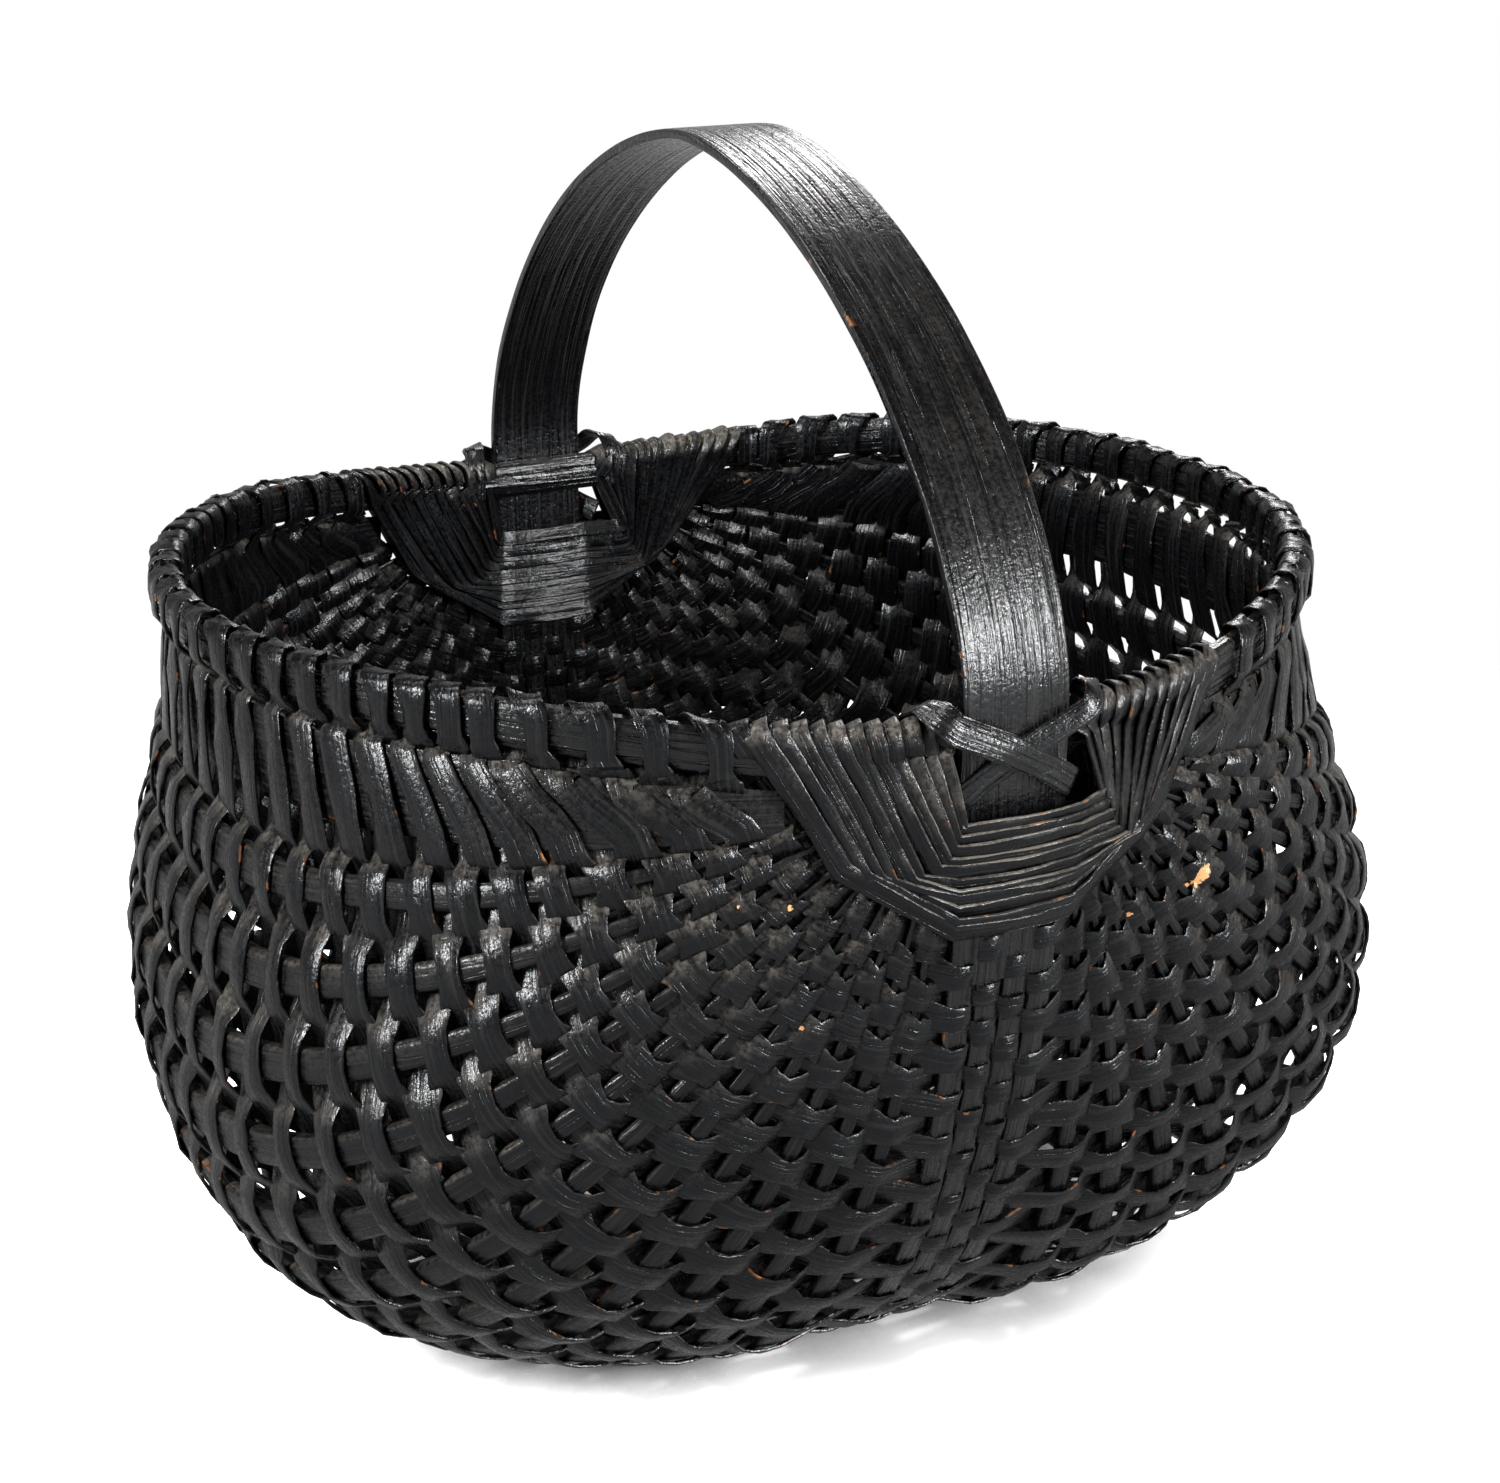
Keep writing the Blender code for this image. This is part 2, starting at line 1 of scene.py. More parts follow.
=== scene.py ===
"""Looks of the buttocks basket: narrow black-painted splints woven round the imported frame.

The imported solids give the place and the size. The pieces here follow the same wall as they
do, with narrow rows, rounded edges, uneven splints, wood grain, worn edges and dust.
X runs across the two lobes, Y from ear to ear and Z up. Lengths are in metres.
"""
import bpy
import numpy as np
from math import pi
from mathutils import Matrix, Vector


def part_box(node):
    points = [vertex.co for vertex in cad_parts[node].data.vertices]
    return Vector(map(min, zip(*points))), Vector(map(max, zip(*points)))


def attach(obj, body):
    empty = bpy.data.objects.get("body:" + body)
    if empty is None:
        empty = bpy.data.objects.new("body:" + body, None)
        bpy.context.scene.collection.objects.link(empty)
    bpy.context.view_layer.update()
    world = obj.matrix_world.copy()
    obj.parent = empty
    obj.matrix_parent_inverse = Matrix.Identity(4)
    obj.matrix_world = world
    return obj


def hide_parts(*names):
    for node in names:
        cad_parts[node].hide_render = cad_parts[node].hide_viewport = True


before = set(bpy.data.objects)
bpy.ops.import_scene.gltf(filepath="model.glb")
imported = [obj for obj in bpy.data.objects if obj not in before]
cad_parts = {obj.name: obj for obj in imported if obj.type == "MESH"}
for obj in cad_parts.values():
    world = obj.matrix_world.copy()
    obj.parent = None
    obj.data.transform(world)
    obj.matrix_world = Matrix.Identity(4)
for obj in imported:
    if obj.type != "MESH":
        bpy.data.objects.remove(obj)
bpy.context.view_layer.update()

scene = bpy.context.scene

left, right = -1, 1

# Sizes of the solids: hoop
handle_width = 0.026
hoop_thickness = 0.0025
hoop_half_length = 0.1277
hoop_depth = 0.1912
handle_rise = 0.0997
handle_lean = 0.0028
tongue_slit = 0.0006
tongue_count = 4

# Sizes of the solids: rim
rim_half_width = 0.1375
rim_height = 0.010
rim_thickness = 0.0045
rim_dip = 0.0098

# Sizes of the solids: lobes
radius_near_keel = 0.1910
radius_at_half = 0.1825
radius_near_rim = 0.1378
left_waist_slope = 0.0060
right_waist_slope = 0.0200
ear_lift = 0.0050
ear_draw_in = 0.0028
foot_flat = 0.0023
foot_blend = 0.0006
left_foot_drop = 0.0108
right_foot_drop = 0.0021
keel_squareness_share = 2.78
rim_squareness_share = 2.0
squareness_bulge_share = 0.24
arch_fullness_share = 1.69
dip_sharpness_share = 6
right_lobe_fullness_shares = (1.071, 1.086, 1.020)
foot_focus_share = 12
fan_pull_share = 0.26
fan_reach_share = 0.30
lean_to_ear_share = 3.0
seat_gap = 0.0003

# Sizes of the solids: ribs and splints
rib_width = 0.0075
upper_rib_width = 0.007
band_rib_width = 0.020
band_rib_thickness = 0.002
band_rib_below_rim = 0.005
upper_rib_gap = 0.0135
rib_tip_thickness = 0.0010
rib_narrowing_share = 0.25
last_rib_room_share = 0.9
keel_margin = 0.001
ribs_per_lobe = 12
splint_thickness = 0.0008

# The narrow weave: width shares are of a row's room
row_count = 58
row_spread_share = 0.30
row_jitter = 0.00065
pieces_of_weave = 9
splint_width = 0.0066
wide_splint_end = 0.14
float_width = 0.0058
inside_float_share = 1.75
widest_inside_float = 0.0092
outside_float_share = 1.86
crossing_share = 1.40
widest_crossing = 0.0105
wrap_share = 1.9
wrap_squareness = 0.62
wrap_lift_jitter = 0.0003
weave_height = 0.0002
float_reach_share = 0.93
float_length_share = 1.15
float_bow, band_float_bow = 0.0004, 0.0007
band_float_start, band_float_end = 0.001, 0.020
lobe_float_rise, keel_float_rise = 0.0024, 0.0018
float_steps, band_float_steps = 3, 5
between_ribs = (0.2, 0.4, 0.6, 0.8)
rim_marks_from_ear = (0.0, 0.0055, 0.0440, 0.0950)
keel_marks_from_ear = (0.0, 0.0240, 0.0510, 0.0960)

# Wanders along the splints, ribs and hoop, as size and wavelength
splint_twist, splint_width_sway, splint_thickness_sway = (0.17, 0.030), (0.07, 0.04), (0.12, 0.03)
splint_width_range = (0.88, 1.08)
row_drift = (0.00035, 0.09)
rib_drift, rib_width_sway = (0.0006, 0.15), (0.05, 0.11)
band_width_sway, band_thickness_sway = (0.012, 0.10), (0.07, 0.05)
tongue_drift, tongue_width_sway = (0.00025, 0.2), (0.03, 0.15)

# The wound ears
ear_turns = 11
ear_row_start, ear_row_end = 0.0250, 0.0510
ear_rim_start, ear_rim_end = 0.0015, 0.0415
ear_row_gap = 0.0022
ear_splint_width = 0.0054
ear_splint_pinch = 0.0010
ear_splint_thickness = 1.1 * splint_thickness
ear_splint_lean = 0.34
ear_corner_starts = {left: 0.0008, right: 0.0090}
ear_corner_spreads = {left: 0.0265, right: 0.0150}
ear_corner_powers = {left: 1.8, right: 1.0}
ear_corner_level = -0.0245
ear_corner_drop = 0.0125
ear_drop_turn = 0.82
ear_keel_jitter, ear_corner_jitter = 0.00035, 0.0008
ear_reach_spare, ear_reach_play, ear_reach_growth = 0.0010, 0.0006, 0.0012
ear_points, ear_rise_points, ear_keel_points = 30, 20, 5
ear_crown = 0.25
ear_wrap_play = 0.0005
ear_first_slant, ear_slant_growth = 0.0006, 0.0037
ear_recess, ear_inside_recess = 0.45, 0.03
ear_pull_rows = 14
ear_pull_top = 0.07

# Finer ribs, the handle's band and its tongues
stave_thickness = 0.0042
stave_growth = 0.26
rib_tuck = 0.002385
band_end_from_ear = 0.064
tongues_start_from_ear = 0.058

# Paint, dust and bare wood
deep_black = (0.0014, 0.0014, 0.0018, 1)
thin_black = (0.0095, 0.0093, 0.0091, 1)
crack_black = (0.0004, 0.0004, 0.0004, 1)
dust_colour = (0.115, 0.103, 0.088, 1)
paint_tint = (0.86, 0.93, 1.0, 1)
worn_dark, worn_light = (0.08, 0.028, 0.011, 1), (0.26, 0.115, 0.045, 1)
bare_dark, bare_light = (0.50, 0.24, 0.09, 1), (0.72, 0.42, 0.20, 1)

# Chips where the bare wood shows: places on the front wall and how far each one reaches
chips = ((0.04635, -0.12077, 0.14118, 0.0013), (0.04830, -0.12173, 0.14226, 0.0016),
         (0.04956, -0.12247, 0.14381, 0.0018), (0.05004, -0.12281, 0.14508, 0.0018),
         (0.02896, -0.12406, 0.13883, 0.0011), (-0.06491, -0.12080, 0.15813, 0.0008),
         (-0.05455, -0.12294, 0.15630, 0.0008), (-0.05112, -0.12121, 0.12784, 0.0009))

# Floor and world: the paper's level is over 1, as weak lamps alone leave it grey
floor_reach = 6.0
# The contact level and distance are for a shadow painted into the paper's colour near the basket
paper_level, painted_shadow_level, floor_level = 2.2, 0.35, 0.32
painted_shadow_reach = 0.026
floor_mirror_share = 0.5
horizon_level, world_level = 0.52, 0.04

# Lamps by name, place, target, size and watts, and the camera from the basket's centre
lamps = (("overhead", (-0.30, 0.20, 1.15), (0, 0, 0.10), (0.30, 0.30), 5),
         ("left_box", (-1.05, -0.30, 0.70), (0, 0, 0.15), (0.14, 0.40), 26),
         ("right_box", (0.62, -1.10, 0.50), (0, 0, 0.15), (0.20, 0.50), 30),
         ("back_box", (0.75, 0.95, 0.80), (0, 0, 0.15), (0.25, 0.40), 5))
camera_lens = 65.197
camera_place = (-0.2884, -0.5748, 0.1802)
camera_target = (-0.0375, -0.0813, -0.0186)

facings = {"front": (1, 1, 1), "back": (1, -1, 1)}
half_band = handle_width / 2
lobe_rim_radius = rim_half_width - half_band
rim_half_length = hoop_half_length - hoop_thickness / 2 - seat_gap - rim_thickness / 2
table_steps = 240
table_v = np.linspace(0, 1, table_steps)
smoothing = 15
probe = 1e-4
chance = np.random.default_rng(11)


def unit(vectors):
    return vectors / np.maximum(np.linalg.norm(vectors, axis=-1, keepdims=True), 1e-12)


def ease(share):
    share = np.clip(share, 0, 1)
    return share * share * (3 - 2 * share)


def power(value, exponent):
    return np.sign(value) * np.abs(value) ** exponent


def lobe_knots(side):
    """Radii of a lobe's profile at even angle steps, and slopes that join them smoothly."""
    near_keel, at_half, near_rim = right_lobe_fullness_shares if side == right else (1, 1, 1)
    radii = np.array([hoop_depth, radius_near_keel * near_keel, radius_at_half * at_half,
                      radius_near_rim * near_rim, lobe_rim_radius])
    smooth = np.eye(len(radii))
    pull = np.diff(radii, append=0)
    pull[-1] = right_waist_slope if side == right else left_waist_slope
    for i in range(1, len(radii) - 1):
        smooth[i, i - 1:i + 2] = (1, 4, 1)
        pull[i] = 3 * (radii[i + 1] - radii[i - 1])
    return radii, np.linalg.solve(smooth, pull)


profiles = {side: lobe_knots(side) for side in (left, right)}


def lobe_radius(side, t):
    """A lobe's radius at t, along a smooth curve through its knots."""
    radii, slopes = profiles[side]
    spans = len(radii) - 1
    first = np.clip((t * spans).astype(int), 0, spans - 1)
    u = t * spans - first
    bend = u ** 2 * (3 - 2 * u)
    return (radii[first] * (1 - bend) + radii[first + 1] * bend
            + slopes[first] * u * (1 - u) ** 2 - slopes[first + 1] * u ** 2 * (1 - u))


def flattened(z):
    """Heights with all that is below the foot's level raised to it, with a soft edge."""
    above = z - foot_level
    eased_height = np.clip(above + foot_blend, 0, 2 * foot_blend) ** 2 / (4 * foot_blend)
    return foot_level + np.where(above > foot_blend, above, eased_height)


def wall_point(side, t, v):
    """Middle of the wall: t from the keel's edge to the rim, v from the front ear to the back."""
    t, v = np.broadcast_arrays(np.asarray(t, float), np.asarray(v, float))
    swell = np.sin(pi * t)
    squareness = (keel_squareness_share * (1 - t) + rim_squareness_share * t
                  + squareness_bulge_share * swell)
    across, along = np.sin(pi * v), np.cos(pi * v)
    radius = (np.abs(across) ** squareness + np.abs(along) ** squareness) ** (-1 / squareness)
    reach = lobe_radius(side, t) * radius * across
    length = hoop_half_length * (1 - t) + rim_half_length * t - ear_draw_in * swell
    x = side * (half_band + reach * np.sin(t * pi / 2))
    y = -length * radius * along
    drop = (left_foot_drop if side == left else right_foot_drop) * across ** foot_focus_share
    z = -reach * np.cos(t * pi / 2) + ear_lift * swell * (1 - across)
    z = z - t * rim_dip * np.abs(along) ** dip_sharpness_share
    z = z - drop * np.sin(pi * np.sqrt(t)) ** 2
    return np.stack([x, y, flattened(z)], -1)


def lowest_wall_level():
    t, v = np.meshgrid(table_v, table_v)
    return min(wall_point(side, t, v)[..., 2].min() for side in (left, right))


# Far below at first, to measure the wall's own lowest level
foot_level = -2 * hoop_depth
foot_level = lowest_wall_level() + foot_flat


def run_along(points):
    steps = np.linalg.norm(np.diff(points, axis=0), axis=-1)
    return np.concatenate([np.zeros((1,) + steps.shape[1:]), np.cumsum(steps, axis=0)])


keel_run = run_along(wall_point(left, 0, table_v))
rim_run = run_along(wall_point(left, 1, table_v))
keel_length, rim_length = keel_run[-1], rim_run[-1]


def v_on_keel(q):
    return np.interp(q, keel_run / keel_length, table_v)


def v_at_share(share):
    """The wall's v at a share of the rim's length from the front ear."""
    return np.interp(share, rim_run / rim_length, table_v)


def both_ends(marks, length):
    shares = np.array(marks) / length
    return np.concatenate([shares, 1 - shares[::-1]])


def v_on_rim(q):
    """Where row line q meets the rim: rows stand closer there near the ears, and fan out."""
    keel_shares = both_ends(keel_marks_from_ear, keel_length)
    return v_at_share(np.interp(q, keel_shares, both_ends(rim_marks_from_ear, rim_length)))


# How far each lobe's rows are pulled in to lie along the ear, as (heights, shifts)
ear_pull = {}


def row_v(side, q, f):
    """Where row line q crosses rib line f, 0 under the rim and 1 beside the keel."""
    f = np.clip(f, 0, 1)
    v = v_on_keel(q) + (v_on_rim(q) - v_on_keel(q)) * (1 - f) ** lean_to_ear_share
    near = np.minimum(v, 1 - v)
    pull = np.clip(1 - np.minimum(q, 1 - q) / fan_reach_share, 0, 1) ** 2
    shift = near * fan_pull_share * pull * 4 * f * (1 - f)
    if side in ear_pull:
        rows_away = (np.minimum(q, 1 - q) - ear_row_end / keel_length) * row_count
        shift = shift + (np.interp(f, *ear_pull[side]) * ease(f / ear_pull_top)
                         * ease(1 - rows_away / ear_pull_rows))
    return v - shift * np.sign(1 / 2 - v)


# Heights on the wall: -1 is the rim's middle, 0 the band's top and 1 the keel's edge
rib_top = rim_height / 2 + band_rib_below_rim
height_marks = np.concatenate([np.linspace(-1, 0, 20, endpoint=False), np.linspace(0, 1, 200)])
wall_v = (1 - np.cos(np.linspace(0, pi, 360))) / 2


def wall_table(side):
    """For each row position, the wall's t at each height, and the wall's span there."""
    t = np.linspace(1, 0, table_steps)
    run = run_along(wall_point(side, t[:, None], wall_v[None, :]))
    span = run[-1] - rib_top - keel_margin
    levels = []
    for column, reach in zip(run.T, span):
        below = np.where(height_marks < 0, rib_top * (1 + height_marks),
                         rib_top + height_marks * reach)
        levels.append(np.interp(below, column, t))
    return np.array(levels), span


wall_tables = {side: wall_table(side) for side in (left, right)}


def on_wall(side, height, q):
    """Middle of the wall at a height on row line q."""
    height, q = np.broadcast_arrays(np.asarray(height, float), np.asarray(q, float))
    v = np.clip(row_v(side, q, height), 0, 1)
    levels, _ = wall_tables[side]
    across = np.interp(v, wall_v, np.arange(len(wall_v)))
    down = np.interp(height, height_marks, np.arange(len(height_marks)))
    i = np.clip(across.astype(int), 0, len(wall_v) - 2)
    j = np.clip(down.astype(int), 0, len(height_marks) - 2)
    a, b = across - i, down - j
    t = ((levels[i, j] * (1 - a) + levels[i + 1, j] * a) * (1 - b)
         + (levels[i, j + 1] * (1 - a) + levels[i + 1, j + 1] * a) * b)
    return wall_point(side, t, v)


def span_at(side, v):
    return np.interp(v, wall_v, wall_tables[side][1])


mid_span = min(span_at(side, 0.5) for side in (left, right))


def rib_lines():
    """Rib lines of one lobe from the rim down, as pairs of upper and lower edge."""
    band = band_rib_width / mid_span
    upper = band + (upper_rib_gap + upper_rib_width / 2) / mid_span
    lower_ribs = ribs_per_lobe - 2
    pitch = (1 - upper) / (lower_ribs + last_rib_room_share)
    lines = [(0, band)]
    for i in range(lower_ribs + 1):
        width = rib_width if i else upper_rib_width
        centre = upper + pitch * i
        lines.append((centre - width / mid_span / 2, centre + width / mid_span / 2))
    return lines


ribs = rib_lines()


def rib_edges(side, index, q):
    """Edges of a rib at row line q: it narrows a little faster than the wall's span does."""
    upper, lower = ribs[index]
    q = np.asarray(q, float)
    if index == 0:
        return upper + 0 * q, lower + 0 * q
    centre = (upper + lower) / 2
    span = span_at(side, row_v(side, q, centre))
    half = (lower - upper) / 2 * np.minimum(span / mid_span, 1) ** rib_narrowing_share
    return centre - half, centre + half


def rib_depth(side, index, q):
    """A rib's thickness at row line q, thinner where the rib is narrow."""
    upper, lower = rib_edges(side, index, q)
    width = (lower - upper) * span_at(side, row_v(side, q, (upper + lower) / 2))
    full_width, thickness = upper_rib_width, stave_thickness
    if index == 0:
        full_width, thickness = band_rib_width, band_rib_thickness
    return np.maximum(thickness * np.minimum(width / full_width, 1), rib_tip_thickness)


def keel_place(x, q):
    """Middle of the keel at x across it, with its outward normal."""
    x, q = np.broadcast_arrays(np.asarray(x, float), np.asarray(q, float))
    step = 1 / table_steps
    v = v_on_keel(q)
    ahead = wall_point(left, 0, np.minimum(v + step, 1))
    along = unit(ahead - wall_point(left, 0, np.maximum(v - step, 0)))
    point = wall_point(left, 0, v).copy()
    point[..., 0] = x
    return point, np.stack([0 * x, along[..., 2], -along[..., 1]], -1)


def rim_place(side, v):
    """Middle of the rim, its level outward direction and its direction along the rim."""
    step = 1 / table_steps
    low, high = np.clip(v - step, 0, 1), np.clip(v + step, 0, 1)
    along = unit(wall_point(side, 1, high) - wall_point(side, 1, low))
    out = np.stack([along[..., 1], -along[..., 0], 0 * along[..., 0]], -1)
    return wall_point(side, 1, v), unit(out) * side, along


def sway(run, size, wavelength):
    """A slow random wander along a line."""
    total = 0 * run
    for octave in (1, 2.3, 4.1):
        phase, turn = chance.uniform(0, 2 * pi), chance.uniform(0.8, 1.2)
        total = total + np.sin(run / wavelength * 2 * pi * octave * turn + phase) / octave
    return total * size / 1.5


def add_object(name, data):
    thing = bpy.data.objects.new(name, data)
    scene.collection.objects.link(thing)
    return thing


class Weft:
    """A mesh gathered from ribbons, with the values its material reads."""

    def __init__(self):
        self.points, self.faces, self.uv = [], [], []
        self.edge, self.recess, self.tone = [], [], []
        self.count = 0

    def sweep(self, centres, across, out, section, recess, tone, full_width, closed=False):
        """Sweep a section of (across, out, edge) rows, in metres, along centres."""
        rings, corners = len(centres), section.shape[1]
        points = (centres[:, None] + across[:, None] * section[..., 0:1]
                  + out[:, None] * section[..., 1:2])
        self.points.append(points.reshape(-1, 3))
        self.edge.append(section[..., 2].reshape(-1))
        self.recess.append(np.repeat(recess, corners))
        self.tone.append(np.full(rings * corners, tone))
        u = np.repeat(run_along(centres), corners) + tone * 3
        w = section[..., 0].reshape(-1) + full_width / 2 + section[..., 1].reshape(-1) / 3
        self.uv.append(np.stack([u, w], 1))
        r = np.arange(rings if closed else rings - 1)[:, None]
        c = np.arange(corners)[None, :]
        ahead, beside = (r + 1) % rings, (c + 1) % corners
        quads = np.stack([r * corners + c, r * corners + beside,
                          ahead * corners + beside, ahead * corners + c], -1)
        self.faces += (quads.reshape(-1, 4) + self.count).tolist()
        if not closed:
            end = self.count + (rings - 1) * corners
            self.faces.append([self.count + c for c in range(corners)][::-1])
            self.faces.append([end + c for c in range(corners)])
        self.count += rings * corners

    def done(self, name, material, node):
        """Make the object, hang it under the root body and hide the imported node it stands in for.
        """
        mesh = bpy.data.meshes.new(name)
        points = np.concatenate(self.points) + basket_centre
        mesh.from_pydata(points.tolist(), [], self.faces)
        mesh.update()
        corner_verts = np.zeros(len(mesh.loops), dtype=np.int32)
        mesh.loops.foreach_get("vertex_index", corner_verts)
        layer = mesh.uv_layers.new(name="grain")
        layer.data.foreach_set("uv", np.concatenate(self.uv)[corner_verts].ravel())
        for title in ("edge", "recess", "tone"):
            values = np.concatenate(getattr(self, title)).astype(np.float32)
            mesh.attributes.new(title, "FLOAT", "POINT").data.foreach_set("value", values)
        mesh.shade_smooth()
        mesh.set_sharp_from_angle(angle=np.radians(45))
        mesh.materials.append(material)
        piece = add_object(name, mesh)
        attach(piece, "root")
        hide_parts(node)


# Section of a splint as shares: across, out and nearness to an edge
splint_section = np.array([
    (-1, -0.40, 1), (-0.90, -0.95, 0.8), (0, -1.10, 0), (0.90, -0.95, 0.8), (1, -0.40, 1),
    (1, 0.40, 1), (0.90, 0.95, 0.8), (0, 1.10, 0), (-0.90, 0.95, 0.8), (-1, 0.40, 1)])


def splint_rings(widths, thicknesses):
    """The splint's section at each station of its path."""
    rings = np.repeat(splint_section[None], len(widths), axis=0)
    rings[..., 0] *= np.asarray(widths)[:, None] / 2
    rings[..., 1] *= np.asarray(thicknesses)[:, None] / 2
    return rings


def path_frame(centres, across):
    """Across and outward directions that are square to a path."""
    along = unit(np.gradient(centres, axis=0))
    across = unit(across - along * np.sum(across * along, -1, keepdims=True))
    return across, np.cross(along, across)


def tilted(across, out, angles):
    """Across and out, turned about the path by an angle at each station."""
    cos, sin = np.cos(angles)[:, None], np.sin(angles)[:, None]
    return across * cos + out * sin, out * cos - across * sin


def lay_splint(weft, centres, across, widths, recess, tone, thickness=splint_thickness, lean=0.0):
    """Sweep one splint along its centres, a little twisted and uneven like split wood."""
    run = run_along(centres)
    across, out = path_frame(centres, across)
    across, out = tilted(across, out, lean + sway(run, *splint_twist))
    widths = widths * chance.uniform(*splint_width_range) * (1 + sway(run, *splint_width_sway))
    thicknesses = thickness * (1 + sway(run, *splint_thickness_sway))
    weft.sweep(centres, across, out, splint_rings(widths, thicknesses), recess, tone,
               splint_width)


# The wrap round the rim: angles from below outside, over it, to below inside
wrap_angles = np.radians([-32, -18, -5, 15, 35, 52, 68, 82,
                          98, 112, 128, 145, 165, 185, 198, 212])
ear_wrap_angles = np.radians([4, 14, 26, 40, 54, 68, 82, 98, 112, 126, 140, 154, 166, 176])
wrap_out = rim_thickness / 2 + splint_thickness / 2 + 0.0006
wrap_up = rim_height / 2 + splint_thickness / 2 + 0.0002


def rim_wrap(side, v_outside, v_inside, lift=0.0, angles=wrap_angles, slant=0.0):
    """Centres of a splint going over the rim from outside to inside, with across and away."""
    turn = ease((angles - angles[2]) / (angles[-3] - angles[2]))
    crest = power(np.sin(np.clip(angles, 0, pi)), wrap_squareness)
    centre, out, along = rim_place(side, v_outside + (v_inside - v_outside) * turn + slant * crest)
    x = (wrap_out + lift) * power(np.cos(angles), wrap_squareness)
    z = (wrap_up + lift) * power(np.sin(angles), wrap_squareness)
    away = out * x[:, None] + np.outer(z, (0, 0, 1))
    return centre + away, along, unit(away)


def lobe_stations(side, row, q):
    """Heights and offsets of one row on one lobe, from the rim to the keel."""
    outside_at_rim = (row % 2 == 0) == (side == left)
    start = wrap_out if outside_at_rim else -wrap_out
    heights, offsets = [-0.44, -0.35], [start * 0.70, start * 0.38]
    before_height, before = heights[-1], offsets[-1]
    for index in range(ribs_per_lobe):
        outward = outside_at_rim == (index % 2 == 1)
        upper, lower = (float(edge) for edge in rib_edges(side, index, q))
        depth = float(rib_depth(side, index, q))
        reach = (depth / 2 + splint_thickness / 2 + weave_height) * float_reach_share
        here = reach if outward else -reach
        centre, half = (upper + lower) / 2, (lower - upper) / 2 * float_length_share
        first, last, bow, count = centre - half, centre + half, float_bow, float_steps
        if index == 0:
            first, last = upper + band_float_start, lower + band_float_end
            bow, count = band_float_bow if outward else float_bow, band_float_steps
        for share in between_ribs:
            heights.append(before_height + (first - before_height) * share)
            offsets.append(before + (here - before) * ease(share))
        for share in np.linspace(0, 1, count):
            heights.append(first + (last - first) * share)
            offsets.append(here + bow * 4 * share * (1 - share) * np.sign(here))
        before_height, before = last, here
    return np.array(heights), np.array(offsets)


tongue_pitch = (handle_width + tongue_slit) / tongue_count
tongue_middles = [(i + 0.5) * tongue_pitch - (handle_width + tongue_slit) / 2
                  for i in range(tongue_count)]


def keel_stations(row):
    """Places across the keel and offsets of one row, from the left edge to the right."""
    reach = hoop_thickness / 2 + splint_thickness / 2 + weave_height * 0.6
    places, offsets = [], []
    for i, middle in enumerate(tongue_middles):
        sign = (-1) ** (row + ribs_per_lobe + 1 + i)
        for shift, share in ((-0.30, 0.88), (0, 1), (0.30, 0.88)):
            places.append(middle + shift * tongue_pitch)
            offsets.append(sign * reach * share)
        if i + 1 < tongue_count:
            places.append(middle + tongue_pitch / 2)
            offsets.append(0)
    return np.array(places), np.array(offsets)


first_q = (ear_row_end + ear_row_gap) / keel_length
row_shares = np.linspace(0, 1, row_count + 1)
row_shares -= row_spread_share * np.sin(2 * pi * row_shares) / (2 * pi)
row_lines = first_q + (1 - 2 * first_q) * row_shares
row_lines[1:-1] += chance.normal(0, row_jitter / keel_length, row_count - 1)
row_half = (1 - 2 * first_q) / row_count / 2


def row_middle(row):
    row = min(row, row_count - 1)
    return (row_lines[row] + row_lines[row + 1]) / 2


def wall_normals(side, heights, q):
    """Outward normals at heights on row line q, and the way from one row's edge to the other."""
    step = 0.004
    down = on_wall(side, np.minimum(heights + step, 1), q) - on_wall(side, heights - step, q)
    pitch = on_wall(side, heights, q + row_half) - on_wall(side, heights, q - row_half)
    return unit(np.cross(down, pitch)) * side, pitch


def row_on_lobe(side, row, q):
    """Centres, across, widths and recess of one row on one lobe, from the rim to the keel."""
    heights, offsets = lobe_stations(side, row, q)
    drift = sway(heights * mid_span, *row_drift) / keel_length
    out, pitch = wall_normals(side, heights, q)
    centres = on_wall(side, heights, q + drift) + out * offsets[:, None]
    room = np.linalg.norm(pitch, axis=-1)
    openness = ease(np.abs(offsets) / lobe_float_rise)
    full = np.where(heights < wide_splint_end, splint_width, float_width)
    inside_full = np.clip(room * inside_float_share, full, widest_inside_float)
    full = np.where(offsets < -0.0005, inside_full, full)
    crossing = np.clip(room * crossing_share, full * 0.7, widest_crossing)
    widths = crossing + (np.minimum(full, room * outside_float_share) - crossing) * openness
    return centres, unit(pitch), widths, 1 - openness


def row_on_keel(row, q):
    """Centres, across, widths and recess of one row on the keel, from left to right."""
    places, offsets = keel_stations(row)
    centres, out = keel_place(places, q)
    pitch = keel_place(places, q + row_half)[0] - keel_place(places, q - row_half)[0]
    room = np.linalg.norm(pitch, axis=-1)
    openness = ease(np.abs(offsets) / keel_float_rise)
    widths = np.minimum(float_width, room * (1.1 + 0.6 * openness))
    return centres + out * offsets[:, None], unit(pitch), widths, 1 - openness


def make_row(row):
    """Centres, across, widths and recess of one row, from the left rim to the right one."""
    q = row_middle(row)
    parts = [row_on_lobe(left, row, q), row_on_keel(row, q), row_on_lobe(right, row, q)]
    parts[2] = tuple(values[::-1] for values in parts[2])
    return [np.concatenate(values) for values in zip(*parts)]


